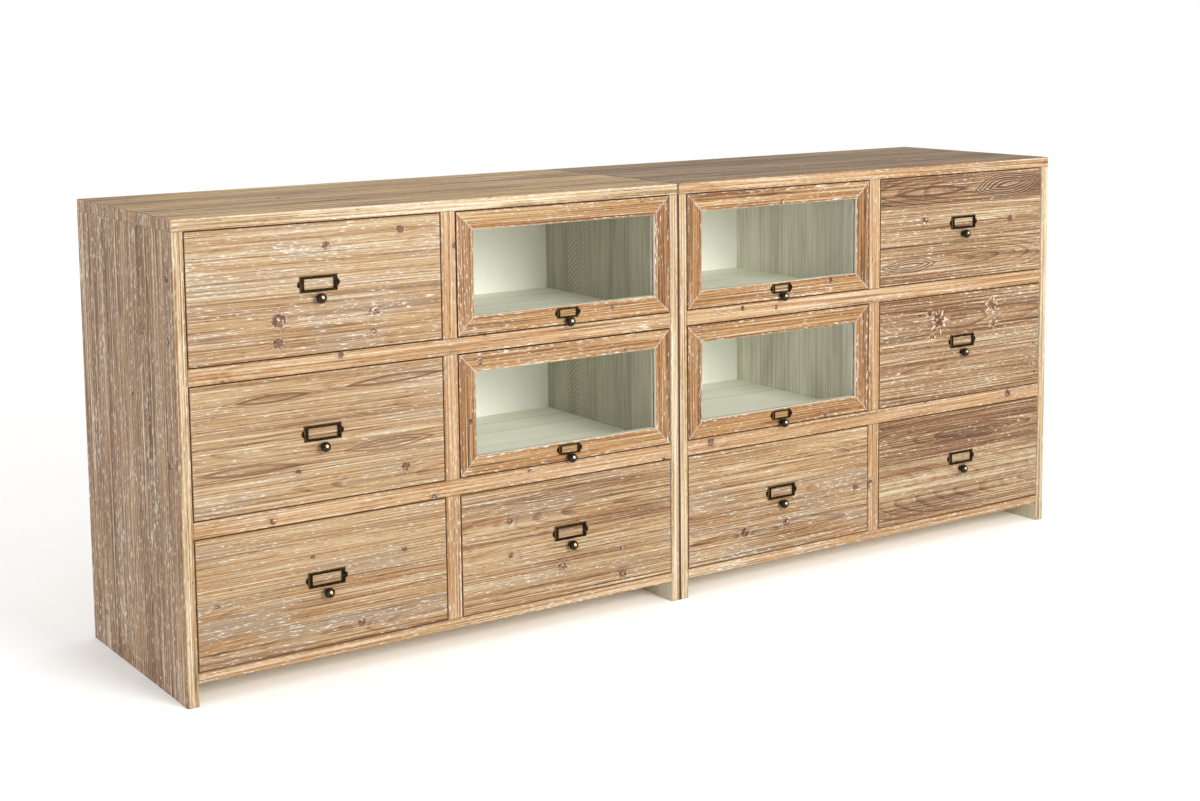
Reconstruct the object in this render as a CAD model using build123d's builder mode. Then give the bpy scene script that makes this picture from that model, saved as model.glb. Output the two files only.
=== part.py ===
from build123d import *
import os
from typing import NamedTuple

# Apothecary chest: two joined cabinets with drawers and lift-up glazed flaps.
# Millimetres. The seam between the cabinets is X = 0, the front faces -Y and the floor is Z = 0.
# Everything is drawn for the right-hand cabinet, with X measured out from the seam,
# and mirrored in the seam for the left-hand one.

os.makedirs("parts", exist_ok=True)


class PullSize(NamedTuple):
    """Sizes of a label-holder pull: frame, window, height in the row and drop to its knob."""

    frame_width: float
    frame_height: float
    window_width: float
    window_height: float
    holder_up: float
    knob_gap: float


# Case boards
case_depth = 500.0
side_thickness = 22.0
top_thickness = 23.0
deck_thickness = 20.0
foot_height = 43.0
partition_thickness = 22.0
shelf_thickness = 18.0
back_thickness = 10.0
back_inset = 4.0
edge_ease = 1.5

# Face frame and the openings between its members
drawer_column_width = 524.0
flap_column_width = 516.0
row_height = 250.0
stile_width = 32.0
rail_height = 32.0
rail_depth = 22.0
front_gap = 2.0

# Drawer runners, guides and stops
runner_width = 20.0
runner_height = 20.0
guide_height = 15.0
drawer_stop_width = 60.0
drawer_stop_height = 20.0
drawer_stop_depth = 16.0
drawer_stop_up = 90.0
running_clearance = 0.3

# Drawers
drawer_front_thickness = 22.0
drawer_side_thickness = 12.0
drawer_side_height = 208.0
drawer_back_thickness = 12.0
drawer_bottom_thickness = 6.0
drawer_bottom_up = 10.0
drawer_side_inset = 4.0
housing_depth = 8.0
groove_depth = 5.0

# Glazed flaps
flap_thickness = 18.0
flap_member_width = 38.0
flap_lip_depth = 6.0
rebate_width = 10.0
glass_thickness = 3.0
glass_edge_clearance = 1.0
bead_depth = 7.0

# Flap pivots and stops
pivot_setback = 8.0
pivot_drop = 15.0
pin_radius = 3.0
pin_seat = 10.0
pin_chamfer = 0.5
pin_end_clearance = 0.5
fit_clearance = 0.05
flap_stop_width = 12.0
flap_stop_depth = 12.0
flap_stop_height = 40.0

# Bolts that join the two cabinets
bolt_radius = 4.0
bolt_head_radius = 7.5
bolt_head_thickness = 2.0
bolt_head_ease = 0.8
bolt_setback = 45.0

# Label-holder pulls
drawer_pull = PullSize(
    frame_width=77.0,
    frame_height=31.0,
    window_width=61.0,
    window_height=20.0,
    holder_up=134.0,
    knob_gap=5.3,
)
flap_pull = PullSize(
    frame_width=51.0,
    frame_height=21.0,
    window_width=39.0,
    window_height=14.0,
    holder_up=26.0,
    knob_gap=1.0,
)
holder_thickness = 3.2
holder_bevel = 1.4
ear_thickness = 1.6
ear_radius = 7.0
ear_reach = 5.0
card_slot_depth = 1.0
card_slot_lip = 2.0

# Ball knobs
ball_radius = 10.0
ball_stand = 12.0
knob_base_radius = 6.0
knob_base_thickness = 2.0
knob_neck_radius = 3.6
knob_stud_radius = 2.0
knob_stud_length = 14.0

# Cuts that leave a face run this far past it
overrun = 1.0

# Places that follow from the sizes above
knob_reach = ball_stand + ball_radius
front_y = (knob_reach - case_depth) / 2
flap_column = (side_thickness, side_thickness + flap_column_width)
stile_span = (flap_column[1], flap_column[1] + stile_width)
drawer_column = (stile_span[1], stile_span[1] + drawer_column_width)
module_width = drawer_column[1] + side_thickness
deck_top = foot_height + deck_thickness
row_pitch = row_height + rail_height
lower_row = deck_top
middle_row = lower_row + row_pitch
upper_row = middle_row + row_pitch
case_top = upper_row + row_height
back_face = case_depth - back_inset - back_thickness
partition_span = (stile_span[0], stile_span[0] + partition_thickness)
box_rear = back_face - drawer_stop_depth - running_clearance
pin_hole_radius = pin_radius + fit_clearance
stud_hole_radius = knob_stud_radius + fit_clearance
bolt_hole_radius = bolt_radius + fit_clearance
bolt_places = (
    (bolt_setback, upper_row + row_height / 2),
    (bolt_setback, middle_row + row_height / 2),
    (bolt_setback, lower_row + row_height / 2),
    (back_face - bolt_setback, lower_row + row_height / 2),
)


def size(span):
    """Length of a span."""
    return span[1] - span[0]


def middle(span):
    """Middle of a span."""
    return (span[0] + span[1]) / 2


def upright(behind):
    """Plane parallel to the front, at a distance behind it, that extrudes towards the viewer."""
    return Plane.XZ.offset(-(front_y + behind))


def board(across, behind, up):
    """A square-edged board between its limits across, behind the front and up."""
    with BuildPart() as plain:
        with BuildSketch(Plane.XY.offset(up[0])):
            with Locations((middle(across), front_y + middle(behind))):
                Rectangle(size(across), size(behind))
        extrude(amount=size(up))
    return plain.part


def show_board(across, behind, up):
    """A board whose front arrises are eased, as every edge that a hand meets is."""
    with BuildPart() as eased:
        add(board(across, behind, up))
        fillet(eased.faces().sort_by(Axis.Y)[0].edges(), radius=edge_ease)
    return eased.part


def rod(across, behind, up, radius):
    """A round bar along X, which serves as a pin, a shank or the cutter of a hole."""
    with BuildPart() as bar:
        with BuildSketch(Plane.YZ.offset(across[0])):
            with Locations((front_y + behind, up)):
                Circle(radius)
        extrude(amount=size(across))
    return bar.part


def stud_hole(across, up):
    """The blind hole for a knob's stud, as the solid that is cut away."""
    with BuildPart() as hole:
        with BuildSketch(upright(knob_stud_length)):
            with Locations((across, up)):
                Circle(stud_hole_radius)
        extrude(amount=knob_stud_length + overrun)
    return hole.part


def pivot_height(row):
    """Height of a flap's pivot axis in the row that starts at the given height."""
    return row + row_height - front_gap - pivot_drop


def knob_height(row, pull):
    """Height of a pull's knob in the row that starts at the given height."""
    return row + pull.holder_up - pull.frame_height / 2 - pull.knob_gap - knob_base_radius


# Case


def outer_side():
    """End panel, which runs to the floor and forms the end foot."""
    return show_board((module_width - side_thickness, module_width), (0, case_depth), (0, case_top))


def inner_side():
    """Panel at the seam, bored for the flap pivots and the joining bolts."""
    hole_bottom = side_thickness - pin_seat - pin_end_clearance
    with BuildPart() as panel:
        add(show_board((0, side_thickness), (0, case_depth), (0, case_top)))
        for row in (upper_row, middle_row):
            across = (hole_bottom, side_thickness + overrun)
            add(rod(across, pivot_setback, pivot_height(row), pin_hole_radius), mode=Mode.SUBTRACT)
        for behind, up in bolt_places:
            add(rod((-overrun, side_thickness + overrun), behind, up, bolt_hole_radius), mode=Mode.SUBTRACT)
    return panel.part


def top_board():
    """Top, which lies over both side panels, with all its upper and front arrises eased."""
    with BuildPart() as top:
        add(board((0, module_width), (0, case_depth), (case_top, case_top + top_thickness)))
        front_face = top.faces().sort_by(Axis.Y)[0]
        lower_front_edge = front_face.edges().sort_by(Axis.Z)[0]
        upper_face = top.faces().sort_by(Axis.Z)[-1]
        corner_edges = top.edges().filter_by(Axis.Z)
        fillet([lower_front_edge, *upper_face.edges(), *corner_edges], radius=edge_ease)
    return top.part


def deck():
    """Bottom board, whose front edge shows as the lowest rail."""
    across = (side_thickness, module_width - side_thickness)
    return show_board(across, (0, back_face), (foot_height, deck_top))


def back_panel():
    """Thin back, set in a little between the side panels."""
    across = (side_thickness, module_width - side_thickness)
    return board(across, (back_face, back_face + back_thickness), (foot_height, case_top))


def partition():
    """Wall between the two columns, flush with the centre stile on the flap side."""
    return board(partition_span, (rail_depth, back_face), (deck_top, case_top))


def shelves():
    """Floors of the two glazed compartments, flush with the rails in front of them."""
    behind = (rail_depth, back_face)
    return [board(flap_column, behind, (row - shelf_thickness, row)) for row in (middle_row, upper_row)]


def rails():
    """Rails between the rows, in one length across the cabinet."""
    across = (flap_column[0], drawer_column[1])
    behind = (0, rail_depth)
    return [show_board(across, behind, (row - rail_height, row)) for row in (middle_row, upper_row)]


def centre_stiles():
    """Short stiles between the rails. The upper two hold a flap pivot each."""
    pieces = []
    for row in (lower_row, middle_row, upper_row):
        with BuildPart() as stile:
            add(show_board(stile_span, (0, rail_depth), (row, row + row_height)))
            if row != lower_row:
                across = (stile_span[0] - overrun, stile_span[0] + pin_seat + pin_end_clearance)
                add(rod(across, pivot_setback, pivot_height(row), pin_hole_radius), mode=Mode.SUBTRACT)
        pieces.append(stile.part)
    return pieces


def runners():
    """Strips that carry the upper drawers, and guides that fill out behind the centre stile."""
    length = (rail_depth, back_face)
    pieces = []
    for row in (middle_row, upper_row):
        up = (row - runner_height, row)
        pieces.append(board((partition_span[1], drawer_column[0] + runner_width), length, up))
        pieces.append(board((drawer_column[1] - runner_width, drawer_column[1]), length, up))
    for row in (lower_row, middle_row, upper_row):
        guide = (partition_span[1], drawer_column[0])
        pieces.append(board(guide, length, (row, row + guide_height)))
    return pieces


def drawer_stops():
    """Blocks on the back panel that stop each drawer flush with the face frame."""
    places = [(drawer_column, row) for row in (lower_row, middle_row, upper_row)]
    places.append((flap_column, lower_row))
    pieces = []
    for column, row in places:
        across = (middle(column) - drawer_stop_width / 2, middle(column) + drawer_stop_width / 2)
        up = (row + drawer_stop_up, row + drawer_stop_up + drawer_stop_height)
        pieces.append(board(across, (back_face - drawer_stop_depth, back_face), up))
    return pieces


def flap_stops():
    """Blocks in the lower corners of each glazed compartment that the closed flap rests on."""
    behind = (flap_thickness + running_clearance, flap_thickness + running_clearance + flap_stop_depth)
    pieces = []
    for row in (middle_row, upper_row):
        up = (row, row + flap_stop_height)
        pieces.append(board((flap_column[0], flap_column[0] + flap_stop_width), behind, up))
        pieces.append(board((flap_column[1] - flap_stop_width, flap_column[1]), behind, up))
    return pieces


def joining_bolts():
    """Capped bolts through both seam panels, one solid each."""
    cap = side_thickness + bolt_head_thickness
    pieces = []
    for behind, up in bolt_places:
        with BuildPart() as bolt:
            add(rod((-side_thickness, side_thickness), behind, up, bolt_radius))
            add(rod((-cap, -side_thickness), behind, up, bolt_head_radius))
            add(rod((side_thickness, cap), behind, up, bolt_head_radius))
            rims = bolt.edges().filter_by(GeomType.CIRCLE)
            chamfer([rims.sort_by(Axis.X)[0], rims.sort_by(Axis.X)[-1]], length=bolt_head_ease)
        pieces.append(bolt.part)
    return pieces


# Pulls


def label_holder(across, up, pull):
    """Bevelled frame with a half-round ear at each end and a card slot open at the top."""
    ear_centre = pull.frame_width / 2 + ear_reach - ear_radius
    slot_width = pull.window_width + card_slot_lip + card_slot_lip
    slot_bottom = up - pull.window_height / 2 - card_slot_lip
    slot_top = up + pull.frame_height / 2 + overrun
    with BuildPart() as holder:
        with BuildSketch(upright(0)):
            with Locations((across, up)):
                Rectangle(pull.frame_width, pull.frame_height)
        extrude(amount=holder_thickness)
        rim = holder.faces().sort_by(Axis.Y)[0].edges()
        chamfer(rim, length=holder_bevel)
        with BuildSketch(upright(0)):
            with Locations((across - ear_centre, up), (across + ear_centre, up)):
                Circle(ear_radius)
        extrude(amount=ear_thickness)
        with BuildSketch(upright(overrun)):
            with Locations((across, up)):
                Rectangle(pull.window_width, pull.window_height)
        extrude(amount=holder_thickness + overrun + overrun, mode=Mode.SUBTRACT)
        with BuildSketch(upright(overrun)):
            with Locations((across, middle((slot_bottom, slot_top)))):
                Rectangle(slot_width, size((slot_bottom, slot_top)))
        extrude(amount=card_slot_depth + overrun, mode=Mode.SUBTRACT)
    return holder.part


def ball_knob(across, up):
    """Turned knob: stud in the wood, round foot, narrow neck and a ball."""
    neck_end = ball_stand - (ball_radius**2 - knob_neck_radius**2) ** 0.5
    with BuildPart() as knob:
        with BuildSketch(Plane((across, front_y, up))):
            with BuildLine():
                Polyline(
                    (0, -knob_reach),
                    (0, knob_stud_length),
                    (knob_stud_radius, knob_stud_length),
                    (knob_stud_radius, 0),
                    (knob_base_radius, 0),
                    (knob_base_radius, -knob_base_thickness),
                    (knob_neck_radius, -knob_base_thickness),
                    (knob_neck_radius, -neck_end),
                )
                ThreePointArc((knob_neck_radius, -neck_end), (ball_radius, -ball_stand), (0, -knob_reach))
            make_face()
        revolve(axis=Axis((across, front_y, up), (0, 1, 0)))
    return knob.part


def pull_pieces(column, row, pull):
    """Label holder and knob of one drawer or flap."""
    across = middle(column)
    return [label_holder(across, row + pull.holder_up, pull), ball_knob(across, knob_height(row, pull))]


# Drawers


def drawer_sides(column):
    """Limits across of a drawer's two sides."""
    low = column[0] + front_gap + drawer_side_inset
    high = column[1] - front_gap - drawer_side_inset
    return (low, low + drawer_side_thickness), (high - drawer_side_thickness, high)


def drawer_levels(row):
    """Limits up of a drawer's sides and of its bottom panel."""
    base = row + running_clearance
    bottom = base + drawer_bottom_up
    return (base, base + drawer_side_height), (bottom, bottom + drawer_bottom_thickness)


def drawer_front(column, row):
    """Inset front with housings for the sides, a groove for the bottom and the knob's hole."""
    side_up, bottom_up = drawer_levels(row)
    left, right = drawer_sides(column)
    housing = (drawer_front_thickness - housing_depth, drawer_front_thickness + overrun)
    groove = (drawer_front_thickness - groove_depth, drawer_front_thickness + overrun)
    with BuildPart() as front:
        across = (column[0] + front_gap, column[1] - front_gap)
        up = (row + front_gap, row + row_height - front_gap)
        add(show_board(across, (0, drawer_front_thickness), up))
        for side in (left, right):
            add(board(side, housing, (row, side_up[1])), mode=Mode.SUBTRACT)
        add(board((left[1], right[0]), groove, bottom_up), mode=Mode.SUBTRACT)
        add(stud_hole(middle(column), knob_height(row, drawer_pull)), mode=Mode.SUBTRACT)
    return front.part


def drawer_box(column, row):
    """Two grooved sides, a back that stands on the bottom, and the bottom in its grooves."""
    side_up, bottom_up = drawer_levels(row)
    left, right = drawer_sides(column)
    side_length = (drawer_front_thickness - housing_depth, box_rear)
    bottom_length = (drawer_front_thickness - groove_depth, box_rear)
    bottom_across = (left[1] - groove_depth, right[0] + groove_depth)
    rise = row + front_gap
    pieces = []
    for side in (left, right):
        with BuildPart() as wall:
            add(board(side, side_length, side_up))
            heel = (drawer_front_thickness - housing_depth - overrun, drawer_front_thickness)
            add(board(side, heel, (side_up[0] - overrun, rise)), mode=Mode.SUBTRACT)
            add(board(bottom_across, bottom_length, bottom_up), mode=Mode.SUBTRACT)
        pieces.append(wall.part)
    inside = (left[1], right[0])
    pieces.append(board(inside, (box_rear - drawer_back_thickness, box_rear), (bottom_up[1], side_up[1])))
    with BuildPart() as bottom:
        add(board(inside, bottom_length, bottom_up))
        add(board(bottom_across, (drawer_front_thickness, box_rear), bottom_up))
    pieces.append(bottom.part)
    return pieces


# Glazed flaps


def flap_outline(row):
    """Limits across and up of a flap in its opening."""
    return (
        (flap_column[0] + front_gap, flap_column[1] - front_gap),
        (row + front_gap, row + row_height - front_gap),
    )


def inset(span, amount):
    """A span drawn in at both ends."""
    return span[0] + amount, span[1] - amount


def mitred_member(across, up, width, behind, edge):
    """One side of a mitred frame: edge 0 is the bottom, then anticlockwise as seen from the front."""
    corners = []
    for amount in (0, width):
        (low_x, high_x), (low_z, high_z) = inset(across, amount), inset(up, amount)
        corners.append([(low_x, low_z), (high_x, low_z), (high_x, high_z), (low_x, high_z)])
    outer, inner = corners
    following = (edge + 1) % len(outer)
    with BuildPart() as member:
        with BuildSketch(upright(behind[1])):
            with BuildLine():
                Polyline(outer[edge], outer[following], inner[following], inner[edge], close=True)
            make_face()
        extrude(amount=size(behind))
    return member.part


def flap_frame(row):
    """Four mitred members with eased arrises, rebated for the glass, and the beads that hold it."""
    across, up = flap_outline(row)
    glazed_across, glazed_up = inset(across, flap_member_width), inset(up, flap_member_width)
    rebate_across, rebate_up = inset(glazed_across, -rebate_width), inset(glazed_up, -rebate_width)
    rebate = (flap_lip_depth, flap_thickness + overrun)
    pieces = []
    for edge, along in enumerate((Axis.X, Axis.Z, Axis.X, Axis.Z)):
        with BuildPart() as member:
            add(mitred_member(across, up, flap_member_width, (0, flap_thickness), edge))
            arrises = member.edges().filter_by(along).group_by(Axis.Y)[0]
            fillet(arrises, radius=edge_ease)
            add(board(rebate_across, rebate, rebate_up), mode=Mode.SUBTRACT)
            if along == Axis.Z:
                for pin_span in pivot_pin_spans():
                    bore = inset(pin_span, -pin_end_clearance)
                    add(rod(bore, pivot_setback, pivot_height(row), pin_hole_radius), mode=Mode.SUBTRACT)
            elif edge == 0:
                add(stud_hole(middle(across), knob_height(row, flap_pull)), mode=Mode.SUBTRACT)
        pieces.append(member.part)
    bead = (flap_lip_depth + glass_thickness, flap_lip_depth + glass_thickness + bead_depth)
    for edge in range(len(pieces)):
        pieces.append(mitred_member(rebate_across, rebate_up, rebate_width, bead, edge))
    return pieces


def flap_glass(row):
    """Pane, which lies against the frame's lip with a little room at its edges."""
    across, up = flap_outline(row)
    margin = flap_member_width - rebate_width + glass_edge_clearance
    behind = (flap_lip_depth, flap_lip_depth + glass_thickness)
    return board(inset(across, margin), behind, inset(up, margin))


def pivot_pin_spans():
    """Limits across of the two pins, half in the flap's edges and half in the case."""
    low, high = flap_column
    return (low - pin_seat, low + front_gap + pin_seat), (high - front_gap - pin_seat, high + pin_seat)


def pivot_pins(row):
    """Two plain pins on the flap's pivot axis."""
    pieces = []
    for span in pivot_pin_spans():
        with BuildPart() as pin:
            add(rod(span, pivot_setback, pivot_height(row), pin_radius))
            chamfer(pin.edges().filter_by(GeomType.CIRCLE), length=pin_chamfer)
        pieces.append(pin.part)
    return pieces


# Nodes


def mirrored(pieces):
    """The same pieces for the left-hand cabinet."""
    return [mirror(piece, about=Plane.YZ) for piece in pieces]


def write_node(name, pieces):
    """Writes one node, as a single solid or as a group of solids that stay separate."""
    node = pieces[0] if len(pieces) == 1 else Compound(pieces)
    node.label = name
    export_step(node, f"parts/{name}.step")


def write_pair(name, pieces):
    """Writes a node for each cabinet."""
    write_node(f"right_{name}", pieces)
    write_node(f"left_{name}", mirrored(pieces))


def write_shared(name, pieces):
    """Writes the pieces of both cabinets as one node."""
    write_node(name, [*pieces, *mirrored(pieces)])


for name, make in (
    ("outer_side", outer_side),
    ("inner_side", inner_side),
    ("top", top_board),
    ("deck", deck),
    ("back_panel", back_panel),
    ("partition", partition),
):
    write_pair(name, [make()])
write_pair("shelves", shelves())
for name, make in (
    ("front_rails", rails),
    ("centre_stiles", centre_stiles),
    ("drawer_runners", runners),
    ("drawer_stops", drawer_stops),
    ("flap_stops", flap_stops),
):
    write_shared(name, make())
write_node("joining_bolts", joining_bolts())

drawer_places = {
    "upper_drawer": (drawer_column, upper_row),
    "middle_drawer": (drawer_column, middle_row),
    "lower_drawer": (drawer_column, lower_row),
    "inner_drawer": (flap_column, lower_row),
}
for name, (column, row) in drawer_places.items():
    write_pair(f"{name}_front", [drawer_front(column, row)])
    write_pair(f"{name}_box", drawer_box(column, row))
    write_pair(f"{name}_pull", pull_pieces(column, row, drawer_pull))

flap_places = {"upper_flap": upper_row, "middle_flap": middle_row}
for name, row in flap_places.items():
    write_pair(f"{name}_frame", flap_frame(row))
    write_pair(f"{name}_glass", [flap_glass(row)])
    write_pair(f"{name}_pull", pull_pieces(flap_column, row, flap_pull))
    write_pair(f"{name}_pins", pivot_pins(row))
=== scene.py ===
"""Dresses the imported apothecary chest: limed pine, painted insides, glass and dark brass pulls."""

import logging
import math
from collections.abc import Iterable, Sequence
from dataclasses import dataclass, replace
from enum import Enum
from typing import Any

import bpy
from mathutils import Matrix, Vector


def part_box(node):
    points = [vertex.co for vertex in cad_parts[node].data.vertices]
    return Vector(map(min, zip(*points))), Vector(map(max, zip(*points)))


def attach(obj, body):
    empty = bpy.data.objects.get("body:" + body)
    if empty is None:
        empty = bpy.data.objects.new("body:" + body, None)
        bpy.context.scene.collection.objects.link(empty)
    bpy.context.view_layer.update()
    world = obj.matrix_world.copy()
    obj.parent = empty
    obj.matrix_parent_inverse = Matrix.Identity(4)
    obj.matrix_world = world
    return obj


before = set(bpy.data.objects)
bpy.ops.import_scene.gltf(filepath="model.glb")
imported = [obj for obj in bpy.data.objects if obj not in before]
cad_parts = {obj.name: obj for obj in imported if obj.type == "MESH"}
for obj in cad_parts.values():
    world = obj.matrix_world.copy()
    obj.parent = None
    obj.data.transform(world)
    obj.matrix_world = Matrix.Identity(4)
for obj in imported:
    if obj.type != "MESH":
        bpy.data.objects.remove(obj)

LOG = logging.getLogger("apothecary_chest")
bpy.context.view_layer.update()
MM = 0.001
SIDES = ("left", "right")
DRAWERS = ("upper", "middle", "lower", "inner")
FLAPS = ("upper", "middle")

Socket = bpy.types.NodeSocket
Tree = bpy.types.NodeTree
Material = bpy.types.Material
Colour = tuple[float, float, float, float]
Triple = tuple[float, float, float]
Feed = dict[int | str, Any] | tuple[Any, ...]
Stops = Sequence[tuple[float, Any]]

# Makes a Mix node mix colours.
COLOURS: dict[str, Any] = {"out": 2, "data_type": "RGBA"}


def linear(code: str) -> Colour:
    """Turns an sRGB hex colour into linear light.

    Args:
        code: colour as "#RRGGBB".

    Returns:
        Linear red, green and blue, with full alpha.
    """
    parts = [int(code[i : i + 2], 16) / 255 for i in (1, 3, 5)]
    light = [p / 12.92 if p <= 0.04045 else ((p + 0.055) / 1.055) ** 2.4 for p in parts]
    return (light[0], light[1], light[2], 1.0)


def connect(tree: Tree, node: bpy.types.Node, feed: Feed) -> None:
    """Sets or links a node's inputs.

    Args:
        tree: node tree that holds the node.
        node: node that is fed.
        feed: values or sockets for its inputs, in their order, or by index or name.
    """
    for key, value in feed.items() if isinstance(feed, dict) else enumerate(feed):
        if isinstance(value, Socket):
            tree.links.new(value, node.inputs[key])
        else:
            node.inputs[key].default_value = value


def add(
    tree: Tree,
    kind: str,
    feed: Feed = (),
    out: int | str = 0,
    stops: Stops | None = None,
    **settings: Any,
) -> Socket:
    """Adds one node with its settings and links.

    Args:
        tree: node tree that gets the node.
        kind: node type without its ShaderNode prefix, with its operation after a dot where it has one.
        feed: values or sockets for its inputs, in their order, or by index or name.
        out: output that is handed back.
        stops: positions and colours of a colour ramp.
        **settings: properties of the node.

    Returns:
        The chosen output socket.
    """
    kind, _, operation = kind.partition(".")
    node = tree.nodes.new("ShaderNode" + kind)
    if operation:
        node.operation = operation
    ramp_mode = settings.pop("interpolation", "LINEAR")
    for name, value in settings.items():
        setattr(node, name, value)
    if stops:
        ramp = node.color_ramp
        ramp.interpolation = ramp_mode
        while len(ramp.elements) > 1:
            ramp.elements.remove(ramp.elements[-1])
        ramp.elements[0].position = stops[0][0]
        for place, _ in stops[1:]:
            ramp.elements.new(place)
        for element, (_, colour) in zip(ramp.elements, stops):
            element.color = colour if isinstance(colour, tuple) else (colour, colour, colour, 1.0)
    connect(tree, node, feed)
    return node.outputs[out]


def thin_lines(places: Iterable[float], half: float, depth: float) -> Stops:
    """Sets the stops of a colour ramp that draws thin lines.

    Args:
        places: where the lines are.
        half: half the width of a line.
        depth: strength of a line.

    Returns:
        The ramp's stops.
    """
    stops: list[tuple[float, Any]] = [(0.0, 0.0)]
    for place in places:
        stops += [(place - half, 0.0), (place, depth), (place + half, 0.0)]
    return stops


def new_material(name: str) -> tuple[Material, Tree, bpy.types.Node]:
    """Starts a material.

    Args:
        name: what the material is and how its surface was made.

    Returns:
        The material, its node tree and its shader.
    """
    material = bpy.data.materials.new(name)
    material.use_nodes = True
    tree = material.node_tree
    return material, tree, tree.nodes["Principled BSDF"]


class Lie(Enum):
    """How a board lies: the rows give its along-grain, across and outward directions."""

    ACROSS_FRONT = ((1, 0, 0), (0, 0, 1), (0, -1, 0))
    UP_FRONT = ((0, 0, 1), (1, 0, 0), (0, 1, 0))
    UP_END = ((0, 0, 1), (0, 1, 0), (-1, 0, 0))
    FLAT = ((1, 0, 0), (0, 1, 0), (0, 0, 1))
    BACKWARD = ((0, 1, 0), (0, 0, 1), (1, 0, 0))


class Facing(Enum):
    """Which faces of a board wear a finish of their own, by the direction that they look in."""

    RIGHT = (1.0, 0.0, 0.0)
    LEFT = (-1.0, 0.0, 0.0)
    UP = (0.0, 0.0, 1.0)
    DOWN = (0.0, 0.0, -1.0)
    FRONT = (0.0, -1.0, 0.0)
    BACK = (0.0, 1.0, 0.0)


EDGES = (Facing.RIGHT, Facing.LEFT, Facing.UP, Facing.DOWN)


@dataclass(frozen=True)
class Ground:
    """What a pattern stands on: the place on one board, in mm.

    Attributes:
        point: place from the board's middle, x along the grain and y across it.
        scatter: the same place moved by the board's own chance, for patterns that mustn't repeat.
        along: the point's x.
        across: the point's y.
        edge: distance to the board's nearest edge.
        chance: number that differs from board to board.
        shade: how much paler the board is than its set.
        mitre: distance to the nearest mitre, or none.
        length: the board's length along the grain.
        width: the board's width across the grain.
    """

    point: Socket
    scatter: Socket
    along: Socket
    across: Socket
    edge: Socket
    chance: Socket
    shade: Socket | float
    mitre: Socket | None
    length: float
    width: float

    def share(self, tree: Tree) -> Socket:
        """Finds the share of the board's width, 0 at one edge and 1 at the other."""
        return add(tree, "Math.MULTIPLY_ADD", (self.across, 1 / self.width, 0.5))

    def way_from(self, tree: Tree, along: float, down: float) -> Socket:
        """Finds the way from a spot, given as shares of the board from its left end and its top."""
        spot = ((along - 0.5) * self.length, (0.5 - down) * self.width, 0.0)
        return add(tree, "VectorMath.SUBTRACT", (self.point, spot))

    def paces(self, tree: Tree, size_mm: Triple) -> Socket:
        """Counts the scattered place in sizes of a pattern."""
        rate = tuple(1 / size for size in size_mm)
        return add(tree, "VectorMath.MULTIPLY", (self.scatter, rate))


@dataclass(frozen=True)
class Surface:
    """Colour, roughness and relief of one finish."""

    colour: Socket
    rough: Socket
    relief: Socket


# How far a step of one in a board's chance moves its patterns, in mm.
SCATTER = (1713.0, 937.0, 411.0)


def place_in_mm(tree: Tree, middle: Vector, turn: Matrix) -> Socket:
    """Adds the nodes that count a place in mm from the middle of a board.

    Args:
        tree: node tree of the material.
        middle: the board's middle in mm, turned.
        turn: directions of the board.

    Returns:
        The place.
    """
    feed = {
        "Vector": add(tree, "TexCoord", out="Object"),
        "Location": tuple(-middle),
        "Rotation": tuple(turn.to_euler("XYZ")),
        "Scale": (1 / MM,) * 3,
    }
    return add(tree, "Mapping", feed)


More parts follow.
